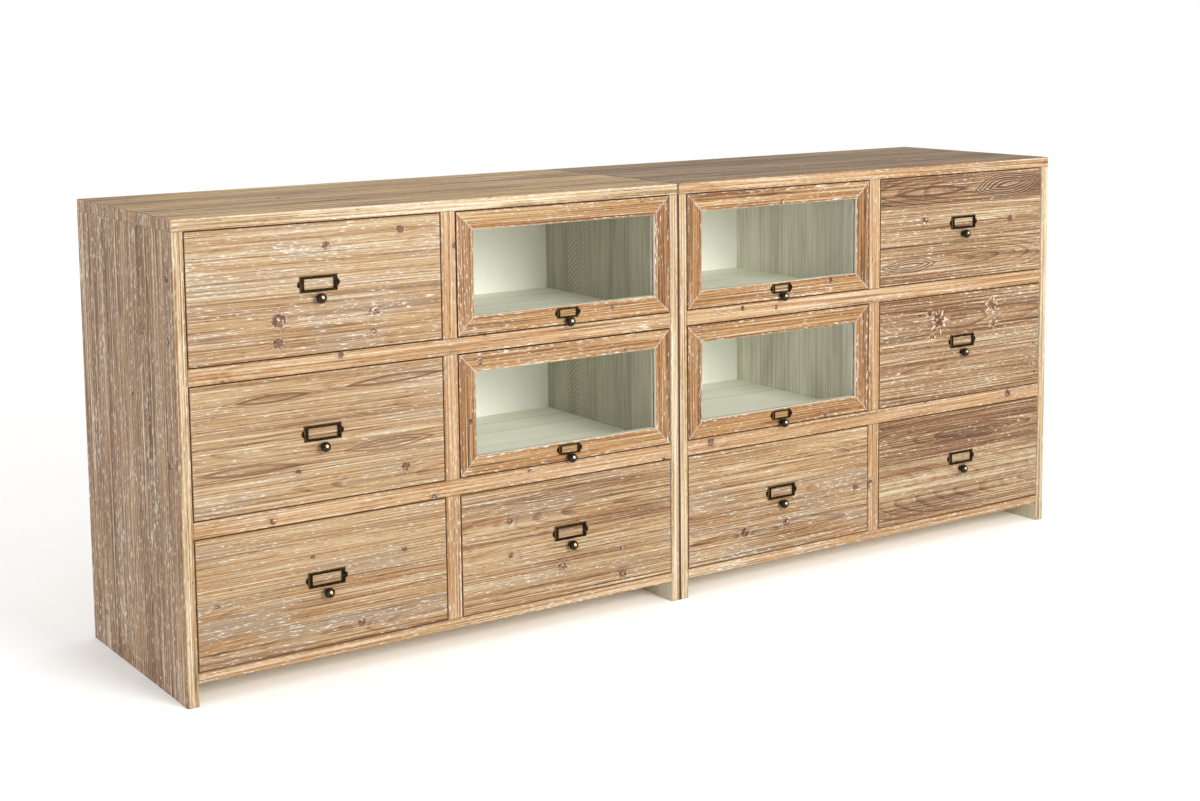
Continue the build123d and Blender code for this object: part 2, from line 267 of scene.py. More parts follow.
@dataclass(frozen=True)
class BoardLay:
    """One board, or a set of equal boards at a steady pitch, with its grain along one axis.

    Attributes:
        low: lowest corner in metres.
        high: highest corner in metres.
        lie: direction of the grain.
        seed: the board's own chance.
        pitch_along: step from board to board along the grain in mm, or 0 for one board.
        pitch_across: step from board to board across the grain in mm, or 0 for one board.
        size: length and width of one board of a set in mm.
    """

    low: Vector
    high: Vector
    lie: Lie
    seed: float
    pitch_along: float = 0.0
    pitch_across: float = 0.0
    size: tuple[float, float] = (0.0, 0.0)

    # How much the chance changes from board to board.
    STEP_ALONG = 0.31
    STEP_ACROSS = 0.47

    @classmethod
    def of(cls, node: str, lie: Lie, seed: float) -> "BoardLay":
        """Lays one board in the box of a CAD node."""
        return cls(*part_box(node), lie, seed)

    def span_mm(self, axis: int) -> float:
        """Measures the box along one axis in mm."""
        return (self.high[axis] - self.low[axis]) / MM

    def ground(self, tree: Tree) -> Ground:
        """Adds the nodes that find the place on the board.

        Args:
            tree: node tree of the material.

        Returns:
            The ground for the patterns.
        """
        turn = Matrix(self.lie.value)
        spread = turn @ ((self.high - self.low) / MM)
        length, width = abs(spread.x), abs(spread.y)
        place = place_in_mm(tree, turn @ ((self.low + self.high) / 2 / MM), turn)
        along = add(tree, "SeparateXYZ", (place,), out="X")
        across, depth = along.node.outputs["Y"], along.node.outputs["Z"]
        # The seed as a socket, the same at every depth.
        chance = add(tree, "Math.MULTIPLY_ADD", (depth, 0.0, self.seed))
        if self.pitch_along:
            pitch, one = self.pitch_along, self.size[0]
            along, chance = self._fold(tree, along, length, pitch, one, chance, self.STEP_ALONG)
            length = one
        if self.pitch_across:
            pitch, one = self.pitch_across, self.size[1]
            across, chance = self._fold(tree, across, width, pitch, one, chance, self.STEP_ACROSS)
            width = one
        point = add(tree, "CombineXYZ", (along, across, depth))
        far = add(tree, "VectorMath.ABSOLUTE", (point,))
        room = add(tree, "VectorMath.SUBTRACT", ((length / 2, width / 2, 0.0), far))
        end = add(tree, "SeparateXYZ", (room,), out="X")
        edge = add(tree, "Math.MINIMUM", (end, end.node.outputs["Y"]))
        scatter = add(tree, "VectorMath.MULTIPLY_ADD", (SCATTER, chance, point))
        return Ground(point, scatter, along, across, edge, chance, 0.0, None, length, width)

    @staticmethod
    def _fold(
        tree: Tree, at: Socket, span: float, pitch: float, one: float, chance: Socket, step: float
    ) -> tuple[Socket, Socket]:
        """Folds a row of equal boards onto one board.

        Args:
            tree: node tree of the material.
            at: place along the row, from its middle.
            span: length of the row.
            pitch: step from board to board.
            one: length of one board.
            chance: the row's chance.
            step: how much the chance changes from board to board.

        Returns:
            The place on one board, from its middle, and the board's chance.
        """
        moved = add(tree, "Math.ADD", (at, span / 2))
        number = add(tree, "Math.DIVIDE", (moved, pitch))
        number = add(tree, "Math.FLOOR", (number,))
        chance = add(tree, "Math.MULTIPLY_ADD", (number, step, chance))
        at = add(tree, "Math.WRAP", (moved, pitch, 0.0))
        return add(tree, "Math.SUBTRACT", (at, one / 2)), chance


@dataclass(frozen=True)
class MitredLay:
    """Four members of a mitred frame, each with its grain along itself.

    Attributes:
        low: lowest corner of the frame in metres.
        high: highest corner of the frame in metres.
        member: width of a member in mm.
        seed: the frame's own chance.
        upright_shade: how much paler the upright members are than the others.
    """

    low: Vector
    high: Vector
    member: float
    seed: float
    upright_shade: float = -0.14

    # How much the chance changes to an upright member, and to the upper or right one.
    STEP_UPRIGHT = 0.53
    STEP_FAR = 0.29

    def ground(self, tree: Tree) -> Ground:
        """Adds the nodes that find the place on the nearest member.

        Args:
            tree: node tree of the material.

        Returns:
            The ground for the patterns.
        """
        half = (self.high - self.low) / 2 / MM
        place = place_in_mm(tree, (self.low + self.high) / 2 / MM, Matrix.Identity(3))
        right = add(tree, "SeparateXYZ", (place,), out="X")
        depth, up = right.node.outputs["Y"], right.node.outputs["Z"]
        far = add(tree, "VectorMath.ABSOLUTE", (place,))
        room = add(tree, "VectorMath.SUBTRACT", (tuple(half), far))
        end = add(tree, "SeparateXYZ", (room,), out="X")
        top = end.node.outputs["Z"]
        upright = add(tree, "Math.LESS_THAN", (end, top))
        outer = add(tree, "Math.MINIMUM", (end, top))
        inner = add(tree, "Math.SUBTRACT", (self.member, outer))
        mitre = add(tree, "Math.SUBTRACT", (end, top))
        mitre = add(tree, "Math.ABSOLUTE", (mitre,))
        edge = add(tree, "Math.MINIMUM", (outer, inner))
        along = add(tree, "Mix", {0: upright, 2: right, 3: up}, data_type="FLOAT")
        beside = add(tree, "Mix", {0: upright, 2: up, 3: right}, data_type="FLOAT")
        sign = add(tree, "Math.GREATER_THAN", (beside, 0.0))
        chance = add(tree, "Math.MULTIPLY_ADD", (upright, self.STEP_UPRIGHT, self.seed))
        chance = add(tree, "Math.MULTIPLY_ADD", (sign, self.STEP_FAR, chance))
        across = add(tree, "Math.SUBTRACT", (outer, self.member / 2))
        point = add(tree, "CombineXYZ", (along, across, depth))
        scatter = add(tree, "VectorMath.MULTIPLY_ADD", (SCATTER, chance, point))
        shade = add(tree, "Math.MULTIPLY", (upright, self.upright_shade))
        return Ground(point, scatter, along, across, edge, chance, shade, mitre, 2 * half.x, self.member)


@dataclass(frozen=True)
class Plank:
    """One of the glued planks of a board, from the bottom up.

    Attributes:
        upto: share of the board's width where the plank ends.
        tone: 0 for dark wood, 1 for pale.
        figure: strength of its growth rings, 0 to 1.
        eye: place that its growth rings close on, as shares of the board's length and width.
    """

    upto: float
    tone: float = 0.5
    figure: float = 0.5
    eye: tuple[float, float] = (1.6, 0.5)


@dataclass(frozen=True)
class Knot:
    """One knot: shares of the board from its left end and its top, and a radius in mm."""

    along: float
    down: float
    radius: float


@dataclass(frozen=True)
class Flame:
    """A set of long pointed loops where the face cuts through the growth rings.

    Attributes:
        along: share of the board's length from its left end to the middle of the loops.
        down: share of the board's width from its top to the middle of the loops.
        reach: half the length and half the height of the outer loop in mm.
        turns: number of loops, one in another.
        lean: rise of the loops' axis along the board.
        depth: darkness, 0 to 1.
        white: how much lime stayed between the loops, 0 to 1.
    """

    along: float
    down: float
    reach: tuple[float, float]
    turns: float = 2.0
    lean: float = 0.0
    depth: float = 1.0
    white: float = 0.0


# Woods from dark to pale.
HONEY = ("#331F0D", "#6E4B2A", "#8F6E48", "#9C8360", "#AFA48B")
PALE_RAIL = ("#452A15", "#7D5630", "#967149", "#A3835E", "#B6A78B")
LIMED_EDGE = ("#442C15", "#7D603B", "#9E845F", "#B19B7C", "#C8BEA9")
ORANGE = ("#361C07", "#6F451F", "#8A6234", "#957347", "#A7956F")
GREY_END = ("#382213", "#6F5034", "#8D6B4E", "#A38262", "#C0A98D")
TOP_WOOD = ("#37220D", "#6C4C27", "#8E6B40", "#A0804E", "#BCA16C")
DARK_TOP = ("#271504", "#513415", "#694B25", "#77592E", "#907242")
RED_FRONT = ("#2B1606", "#613C1E", "#80603F", "#927A5A", "#A79C83")


# Wire-brushed, limed softwood: a dry matt board, striped along the grain, with white flecks and dark knots.
@dataclass(frozen=True)
class LimedPine:
    """Old pine, wire-brushed and limed: soft wood worn into furrows, white lime left in the pores.

    Attributes:
        planks: glued planks across the board, from the bottom up.
        knots: knots that are seen in known places.
        flames: loops of the growth rings that are seen in known places.
        knot_share: share of the chance knots' cells that hold a knot.
        lime: how much lime is left, 0 to 1.
        rim: how much more lime is left along the edges.
        grey: how far the wood has weathered to grey, 0 to 1.
        tilt: how steeply the rings run out of the face.
        ring_mm: spacing of the growth rings in mm.
        coarse: how much broader the pattern is drawn on boards that are seen at a slant.
        contrast: strength of the brushed streaks.
        seam: axis and place in mm of a dark seam with the next cabinet, or none.
        shades: colours of the wood from dark to pale.
        chalk: colour of the lime.
        weathered: colour of the grey wood.
        loop: colour of the loops in known places.
        fan: how much lime fans out from knots, 0 to 1.
    """

    planks: tuple[Plank, ...] = (Plank(1.0),)
    knots: tuple[Knot, ...] = ()
    flames: tuple[Flame, ...] = ()
    knot_share: float = 0.0
    lime: float = 0.5
    rim: float = 0.06
    grey: float = 0.35
    tilt: float = 0.06
    ring_mm: float = 5.5
    coarse: float = 1.0
    contrast: float = 1.0
    seam: tuple[str, float] | None = None
    shades: tuple[str, str, str, str, str] = HONEY
    chalk: str = "#BEB6A8"
    weathered: str = "#857968"
    loop: str = "#54300F"
    fan: float = 0.3

    # Sizes of the noises along the grain, across it and into the wood. Brushed streaks and pores are about a
    # millimetre wide, and are drawn more than twice as wide so that they show.
    STREAK_MM = (420.0, 2.4, 2.4)
    BAND_MM = (620.0, 15.0, 15.0)
    PATCH_MM = (190.0, 46.0, 46.0)
    FLECK_MM = (15.0, 2.3, 2.3)
    WARP_MM = (330.0, 55.0, 55.0)
    SPECK_MM = (7.5, 7.5, 7.5)
    NOISE_ROUGH = 0.65
    FLECK_COARSEST = 1.5
    # How far a plank's tone moves its noises, in mm.
    PLANK_SCATTER = (911.0, 533.0, 217.0)

    # How far each pattern moves the wood's tone, and where the shades lie on the tone.
    STREAK_PULL = 1.65
    GRAIN_PULL = 0.3
    BAND_PULL = 0.4
    TONE_PULL = 0.7
    LATE_PULL = 0.34
    LATE_MEAN = 0.1
    PORE = (0.3, 0.24, 0.0, 0.3)
    MARKS = (0.0, 0.24, 0.46, 0.64, 0.95)
    WEATHERING = (0.46, 0.66)
    LATE_RELIEF = 0.5
    ROUGH = (0.0, 1.0, 0.62, 0.84)

    # Growth rings: reach of their closing places in lengths of the board, how a noise bends them in mm,
    # how far a knot pushes them aside, how ring differs from ring, and the darkness across one ring.
    EYE_REACH = 4.0
    RING_BEND = (14.0, 16.0, 14.0)
    RING_SHIFT = (-7.0, -8.0, -3.0)
    RING_BULGE_MM = 26.0
    RING_CHANCE = 57.3
    RING_DEPTH = (0.0, 1.0, 0.35, 1.0)
    RING = ((0.0, 0.0), (0.6, 0.0), (0.88, 1.0), (0.96, 1.0), (1.0, 0.0))

    # Loops in known places: darkness and lime across one loop, how a noise bends and breaks the loops.
    LOOP = ((0.0, 0.7), (0.16, 0.0), (0.42, 0.1), (0.64, 0.95), (1.0, 1.0))
    BETWEEN = ((0.1, 0.0), (0.2, 1.0), (0.32, 1.0), (0.42, 0.0))
    LOOP_BEND = 1.4
    LOOP_END = (1.08, 1.0, 0.0, 1.0)
    LOOP_BREAK = (0.3, 0.7)
    LOOP_LEFT = 0.75

    # Knots, with distances in radii: a brown halo, a mottled heart and a bark line, at half the distance.
    KNOT_CELL_MM = 120.0
    KNOT_MM = (4.0, 9.0)
    KNOT_LONG = 0.85
    KNOT_AWAY = (90.0, 0.0, 0.0)
    HALO = "#644226"
    HALO_FADE = (1.3, 2.9, 0.35, 0.0)
    HEART = ((0.34, "#3A1F08"), (0.62, "#7E5028"))
    HEART_EDGE = (1.6, 1.45, 0.0, 1.0)
    BARK = "#3A2412"
    BARK_LINE = ((0.0, 0.0), (0.62, 0.0), (0.72, 0.75), (0.82, 0.0))

    # Lime at knots: specks in the heart, and strokes that fan out from it.
    SPECK_REACH = (1.5, 2.4, 0.1, -0.3)
    SPECKS = (0.75, 0.79, 0.0, 0.9)
    SPOKE_TURN = (0.3, 0.3, 0.0)
    SPOKE_RATE = (3.2, 3.2, 0.0)
    FAN_REACH = (1.6, 3.6, 0.1, -0.22)
    FAN = (0.62, 0.67)
    FAN_COVER = 0.95
    FAN_START = (1.3, 1.6, 0.0, 1.0)

    # Lime elsewhere: in pores, in furrows, along edges and at mitres.
    LIME_BY_PATCH = 0.3
    LIME_BY_STREAK = 0.3
    LIME_BY_LATE = -0.08
    RIM_MM = (0.5, 7.0)
    PORE_LEVEL = (1.06, 0.14)
    PORE_STEP = 0.05
    PORE_COVER = 0.95
    FURROW = (0.6, 0.74)
    FURROW_COVER = 0.75
    MITRE_BREAK = (0.38, 0.62, 0.05, 0.65)
    MITRE_MM = (0.9, 2.8, 1.0, 0.0)

    # Rubbed arrises, glue lines and the seam between the cabinets.
    RUBBED = "#7F5931"
    RUBBED_MM = (0.6, 2.4, 0.55, 0.0)
    GLUE = "#402C1A"
    GLUE_MM = 1.5
    GLUE_BREAK = (0.35, 0.6, 0.9, 0.4)
    SEAM = "#3C2412"
    SEAM_MM = (2.2, 3.8, 0.97, 0.0)

    def lay_on(self, tree: Tree, ground: Ground) -> Surface:
        """Adds the nodes of the wood.

        Args:
            tree: node tree of the material.
            ground: place on the board.

        Returns:
            The wood's surface.
        """
        plank, share = self._planks(tree, ground)
        tone = add(tree, "SeparateColor", (plank,), out="Red")
        noises = self._noises(tree, ground, tone)
        knot = self._knots(tree, ground)
        near: Socket | None = None
        if knot:
            near = add(tree, "VectorMath.LENGTH", (knot,), out="Value")
            near = add(tree, "Math.ADD", (noises["speck"], near))
        late = self._rings(tree, ground, plank, noises["warp"], near)
        colour = self._shades(tree, ground, noises, tone, late)
        lime = self._lime(tree, ground, noises, late)
        colour, lime = self._flames(tree, ground, noises, colour, lime)
        feed = (late, self.LATE_RELIEF, noises["streak"])
        relief = add(tree, "Math.MULTIPLY_ADD", feed)
        if knot:
            colour = self._knot_wood(tree, colour, noises["speck"], near)
            white = self._knot_lime(tree, noises["speck"], knot, near)
            lime = add(tree, "Math.MAXIMUM", (lime, white))
        colour = add(tree, "Mix", {0: lime, 6: colour, 7: linear(self.chalk)}, **COLOURS)
        colour = self._edges(tree, ground, colour, share, noises["streak"])
        return Surface(colour, add(tree, "MapRange", (lime, *self.ROUGH)), relief)

    def _shades(
        self, tree: Tree, ground: Ground, noises: dict[str, Socket], tone: Socket, late: Socket
    ) -> Socket:
        """Colours the wood by its streaks, bands, planks, rings and pores, and greys it in patches.

        Args:
            tree: node tree of the material.
            ground: place on the board.
            noises: the wood's noises by name.
            tone: tone of the plank.
            late: darkness of the late wood.

        Returns:
            The wood's colour.
        """
        streak, band, grain = (self.contrast * p for p in (self.STREAK_PULL, self.BAND_PULL, self.GRAIN_PULL))
        value: Socket | float = 0.5 - (streak + band + grain + self.TONE_PULL) / 2
        value += self.LATE_MEAN * self.LATE_PULL
        for part, pull in (
            (noises["streak"], streak),
            (noises["band"], band),
            (noises["fleck"], grain),
            (tone, self.TONE_PULL),
        ):
            value = add(tree, "Math.MULTIPLY_ADD", (part, pull, value))
        value = add(tree, "Math.ADD", (value, ground.shade))
        value = add(tree, "Math.MULTIPLY_ADD", (late, -self.LATE_PULL, value))
        pores = add(tree, "MapRange", (noises["fleck"], *self.PORE))
        value = add(tree, "Math.SUBTRACT", (value, pores))
        stops = [(mark, linear(shade)) for mark, shade in zip(self.MARKS, self.shades)]
        colour = add(tree, "ValToRGB", (value,), stops=stops)
        worn = add(tree, "MapRange", (noises["patch"], *self.WEATHERING, 0.0, self.grey))
        return add(tree, "Mix", {0: worn, 6: colour, 7: linear(self.weathered)}, **COLOURS)

    def _noises(self, tree: Tree, ground: Ground, tone: Socket) -> dict[str, Socket]:
        """Adds the wood's noises, stretched along the grain and moved from plank to plank.

        Args:
            tree: node tree of the material.
            ground: place on the board.
            tone: tone of the plank.

        Returns:
            The noises by name.
        """
        moved = (tone, self.PLANK_SCATTER, ground.scatter)
        loose = replace(ground, scatter=add(tree, "VectorMath.MULTIPLY_ADD", moved))
        noises: dict[str, Socket] = {}
        for name, size, detail, wide in (
            ("streak", self.STREAK_MM, 2.0, self.coarse),
            ("band", self.BAND_MM, 2.0, self.coarse),
            ("patch", self.PATCH_MM, 2.0, 1.0),
            ("fleck", self.FLECK_MM, 1.0, min(self.coarse, self.FLECK_COARSEST)),
            ("warp", self.WARP_MM, 1.0, 1.0),
            ("speck", self.SPECK_MM, 1.0, 1.0),
        ):
            step = loose.paces(tree, (size[0], size[1] * wide, size[2] * wide))
            feed = {"Vector": step, "Scale": 1.0, "Detail": detail, "Roughness": self.NOISE_ROUGH}
            noises[name] = add(tree, "TexNoise", feed)
        return noises

    def _planks(self, tree: Tree, ground: Ground) -> tuple[Socket, Socket]:
        """Gives each glued plank its tone, its rings' closing place and their strength.

        Args:
            tree: node tree of the material.
            ground: place on the board.

        Returns:
            The ramp's colour socket, and the share of the width.
        """
        share = ground.share(tree)
        stops, begin = [], 0.0
        for plank in self.planks:
            closing = (plank.eye[0] - 0.5) / self.EYE_REACH + 0.5
            stops.append((begin, (plank.tone, plank.eye[1], plank.figure, closing)))
            begin = plank.upto
        return add(tree, "ValToRGB", (share,), stops=stops, interpolation="CONSTANT"), share

    def _knots(self, tree: Tree, ground: Ground) -> Socket | None:
        """Finds the way from the nearest knot, counted in its radii.

        Args:
            tree: node tree of the material.
            ground: place on the board.

        Returns:
            The vector from the knot, or none on clear wood.
        """
        ways: list[Socket] = []
        for knot in self.knots:
            way = ground.way_from(tree, knot.along, knot.down)
            size = (self.KNOT_LONG / knot.radius, 1 / knot.radius, 0.0)
            ways.append(add(tree, "VectorMath.MULTIPLY", (way, size)))
        if self.knot_share:
            feed = {"Vector": ground.scatter, "Scale": 1 / self.KNOT_CELL_MM}
            cell = add(tree, "TexVoronoi", feed, out="Position", voronoi_dimensions="2D")
            pick = add(tree, "SeparateColor", (cell.node.outputs["Color"],), out="Red")
            bare = add(tree, "Math.GREATER_THAN", (pick, self.knot_share))
            far = add(tree, "CombineXYZ", (bare,))
            small, large = self.KNOT_MM
            size = add(tree, "MapRange", (pick.node.outputs["Green"], 0.0, 1.0, 1 / large, 1 / small))
            way = add(tree, "VectorMath.SUBTRACT", (ground.scatter, cell))
            way = add(tree, "VectorMath.MULTIPLY", (way, (1.0, 1.0, 0.0)))
            way = add(tree, "VectorMath.SCALE", {0: way, "Scale": size})
            ways.append(add(tree, "VectorMath.MULTIPLY_ADD", (far, self.KNOT_AWAY, way)))
        nearest = ways[0] if ways else None
        for way in ways[1:]:
            old = add(tree, "VectorMath.LENGTH", (nearest,), out="Value")
            new = add(tree, "VectorMath.LENGTH", (way,), out="Value")
            closer = add(tree, "Math.LESS_THAN", (new, old))
            nearest = add(tree, "Mix", {0: closer, 4: nearest, 5: way}, out=1, data_type="VECTOR")
        return nearest

    def _knot_wood(self, tree: Tree, colour: Socket, speck: Socket, near: Socket) -> Socket:
        """Colours the knots: a dark mottled heart in a darker bark line, and a brown halo.

        Args:
            tree: node tree of the material.
            colour: the wood's colour.
            speck: even noise.
            near: distance to the nearest knot in radii.

        Returns:
            The colour with the knots.
        """
        halo = add(tree, "MapRange", (near, *self.HALO_FADE))
        colour = add(tree, "Mix", {0: halo, 6: colour, 7: linear(self.HALO)}, **COLOURS)
        pith = add(tree, "ValToRGB", (speck,), stops=[(at, linear(shade)) for at, shade in self.HEART])
        heart = add(tree, "MapRange", (near, *self.HEART_EDGE))
        colour = add(tree, "Mix", {0: heart, 6: colour, 7: pith}, **COLOURS)
        ring = add(tree, "Math.MULTIPLY", (near, 0.5))
        bark = add(tree, "ValToRGB", (ring,), stops=self.BARK_LINE)
        return add(tree, "Mix", {0: bark, 6: colour, 7: linear(self.BARK)}, **COLOURS)

    def _knot_lime(self, tree: Tree, speck: Socket, knot: Socket, near: Socket) -> Socket:
        """Finds the lime round knots: specks in the heart and short strokes that fan out from it.

        Args:
            tree: node tree of the material.
            speck: even noise.
            knot: the way from the nearest knot in radii.
            near: distance to the nearest knot in radii.

        Returns:
            The lime's cover, 0 to 1.
        """
        reach = add(tree, "MapRange", (near, *self.SPECK_REACH))
        specks = add(tree, "Math.ADD", (speck, reach))
        specks = add(tree, "MapRange", (specks, *self.SPECKS))
        spoke = add(tree, "VectorMath.NORMALIZE", (knot,))
        turn = add(tree, "VectorMath.MULTIPLY", (knot, self.SPOKE_TURN))
        spoke = add(tree, "VectorMath.MULTIPLY_ADD", (spoke, self.SPOKE_RATE, turn))
        stroke = add(tree, "TexNoise", {"Vector": spoke, "Scale": 1.0, "Detail": 1.0})
        fan = add(tree, "MapRange", (near, *self.FAN_REACH))
        stroke = add(tree, "Math.ADD", (stroke, fan))
        stroke = add(tree, "MapRange", (stroke, *self.FAN, 0.0, self.FAN_COVER * self.fan))
        clear = add(tree, "MapRange", (near, *self.FAN_START))
        stroke = add(tree, "Math.MULTIPLY", (stroke, clear))
        return add(tree, "Math.MAXIMUM", (specks, stroke))

    def _rings(self, tree: Tree, ground: Ground, plank: Socket, warp: Socket, near: Socket | None) -> Socket:
        """Draws the growth rings, which close on each plank's eye and bulge round knots.

        Args:
            tree: node tree of the material.
            ground: place on the board.
            plank: the planks' values.
            warp: noise that bends the rings.
            near: distance to the nearest knot in radii, or none.

        Returns:
            Darkness of the late wood.
        """
        values = add(tree, "SeparateColor", (plank,), out="Green")
        spread = (self.EYE_REACH * ground.length, ground.width, 0.0)
        eye = add(tree, "CombineXYZ", (plank.node.outputs["Alpha"], values))
        shift = tuple(-s / 2 for s in spread)
        eye = add(tree, "VectorMath.MULTIPLY_ADD", (eye, spread, shift))
        reach = add(tree, "VectorMath.SUBTRACT", (ground.point, eye))
        feed = (warp.node.outputs["Color"], self.RING_BEND, self.RING_SHIFT)
        bent = add(tree, "VectorMath.MULTIPLY_ADD", feed)
        reach = add(tree, "VectorMath.MULTIPLY_ADD", (reach, (self.tilt, 1.0, 1.0), bent))
        radius = add(tree, "VectorMath.LENGTH", (reach,), out="Value")
        if near:
            bulge = add(tree, "Math.MULTIPLY_ADD", (near, near, 1.0))
            bulge = add(tree, "Math.DIVIDE", (self.RING_BULGE_MM, bulge))
            radius = add(tree, "Math.ADD", (radius, bulge))
        phase = add(tree, "Math.DIVIDE", (radius, self.ring_mm * self.coarse))
        number = add(tree, "Math.FLOOR", (phase,))
        number = add(tree, "Math.MULTIPLY_ADD", (ground.chance, self.RING_CHANCE, number))
        year = add(tree, "TexWhiteNoise", {"W": number}, noise_dimensions="1D")
        part = add(tree, "Math.FRACT", (phase,))
        late = add(tree, "ValToRGB", (part,), stops=self.RING)
        year = add(tree, "MapRange", (year, *self.RING_DEPTH))
        late = add(tree, "Math.MULTIPLY", (late, year))
        return add(tree, "Math.MULTIPLY", (late, values.node.outputs["Blue"]))

    def _flames(
        self, tree: Tree, ground: Ground, noises: dict[str, Socket], colour: Socket, lime: Socket
    ) -> tuple[Socket, Socket]:
        """Draws the loops of late wood that are seen in known places.

        Args:
            tree: node tree of the material.
            ground: place on the board.
            noises: the wood's noises by name.
            colour: the wood's colour.
            lime: the lime's cover.

        Returns:
            The colour and the lime with the loops.
        """
        for flame in self.flames:
            way = ground.way_from(tree, flame.along, flame.down)
            wide, high = flame.reach
            share = add(tree, "VectorMath.MULTIPLY", (way, (1 / wide, 1 / high, 0.0)))
            run = add(tree, "SeparateXYZ", (share,), out="X")
            rise = run.node.outputs["Y"]
            bend = add(tree, "Math.MULTIPLY_ADD", (noises["warp"], self.LOOP_BEND, rise))
            bend = add(tree, "Math.MULTIPLY_ADD", (run, -flame.lean * wide / high, bend))
            bend = add(tree, "Math.SUBTRACT", (bend, self.LOOP_BEND / 2))
            bend = add(tree, "Math.ABSOLUTE", (bend,))
            loop = add(tree, "Math.MULTIPLY_ADD", (run, run, bend))
            inside = add(tree, "MapRange", (loop, *self.LOOP_END))
            turn = add(tree, "Math.MULTIPLY", (loop, flame.turns))
            turn = add(tree, "Math.FRACT", (turn,))
            line = add(tree, "ValToRGB", (turn,), stops=self.LOOP)
            line = add(tree, "Math.MULTIPLY", (line, inside))
            depths = (flame.depth, self.LOOP_LEFT * flame.depth)
            broken = add(tree, "MapRange", (noises["streak"], *self.LOOP_BREAK, *depths))
            dark = add(tree, "Math.MULTIPLY", (line, broken))
            colour = add(tree, "Mix", {0: dark, 6: colour, 7: linear(self.loop)}, **COLOURS)
            clear = add(tree, "Math.MULTIPLY_ADD", (line, -1.0, 1.0))
            lime = add(tree, "Math.MULTIPLY", (lime, clear))
            if flame.white:
                pale = add(tree, "ValToRGB", (turn,), stops=self.BETWEEN)
                pale = add(tree, "Math.MULTIPLY", (pale, inside))
                pale = add(tree, "Math.MULTIPLY", (pale, flame.white))
                lime = add(tree, "Math.MAXIMUM", (lime, pale))
        return colour, lime

    def _lime(self, tree: Tree, ground: Ground, noises: dict[str, Socket], late: Socket) -> Socket:
        """Finds where the lime stayed: in pores along the grain, in furrows and along edges.

        Args:
            tree: node tree of the material.
            ground: place on the board.
            noises: the wood's noises by name.
            late: darkness of the late wood.

        Returns:
            The lime's cover, 0 to 1.
        """
        level = noises["fleck"]
        for noise, weight in (("patch", self.LIME_BY_PATCH), ("streak", self.LIME_BY_STREAK)):
            level = add(tree, "Math.MULTIPLY_ADD", (noises[noise], weight, level))
        rim = add(tree, "MapRange", (ground.edge, *self.RIM_MM, self.rim, 0.0))
        level = add(tree, "Math.ADD", (level, rim))
        level = add(tree, "Math.MULTIPLY_ADD", (late, self.LIME_BY_LATE, level))
        least = self.PORE_LEVEL[0] - self.PORE_LEVEL[1] * self.lime
        flecks = add(tree, "MapRange", (level, least, least + self.PORE_STEP, 0.0, self.PORE_COVER))
        cover = self.FURROW_COVER * self.lime
        furrow = add(tree, "MapRange", (noises["streak"], *self.FURROW, 0.0, cover))
        lime = add(tree, "Math.MAXIMUM", (flecks, furrow))
        if ground.mitre:
            broken = add(tree, "MapRange", (noises["speck"], *self.MITRE_BREAK))
            cut = add(tree, "MapRange", (ground.mitre, *self.MITRE_MM))
            cut = add(tree, "Math.MULTIPLY", (cut, broken))
            lime = add(tree, "Math.MAXIMUM", (lime, cut))
        return lime

    def _edges(self, tree: Tree, ground: Ground, colour: Socket, share: Socket, streak: Socket) -> Socket:
        """Rubs the arrises to a warm brown and draws the glue lines and the seam.

        Args:
            tree: node tree of the material.
            ground: place on the board.
            colour: the wood's colour.
            share: share of the width.
            streak: noise that breaks the wear up.

        Returns:
            The colour with its edges.
        """
        wear = add(tree, "MapRange", (ground.edge, *self.RUBBED_MM))
        colour = add(tree, "Mix", {0: wear, 6: colour, 7: linear(self.RUBBED)}, **COLOURS)
        if len(self.planks) > 1:
            half = self.GLUE_MM * self.coarse / ground.width
            stops = thin_lines((plank.upto for plank in self.planks[:-1]), half, 1.0)
            joint = add(tree, "ValToRGB", (share,), stops=stops)
            broken = add(tree, "MapRange", (streak, *self.GLUE_BREAK))
            joint = add(tree, "Math.MULTIPLY", (joint, broken))
            colour = add(tree, "Mix", {0: joint, 6: colour, 7: linear(self.GLUE)}, **COLOURS)
        if self.seam:
            axis = add(tree, "SeparateXYZ", (ground.point,), out=self.seam[0])
            gap = add(tree, "Math.SUBTRACT", (axis, self.seam[1]))
            gap = add(tree, "Math.ABSOLUTE", (gap,))
            gap = add(tree, "MapRange", (gap, *self.SEAM_MM))
            colour = add(tree, "Mix", {0: gap, 6: colour, 7: linear(self.SEAM)}, **COLOURS)
        return colour


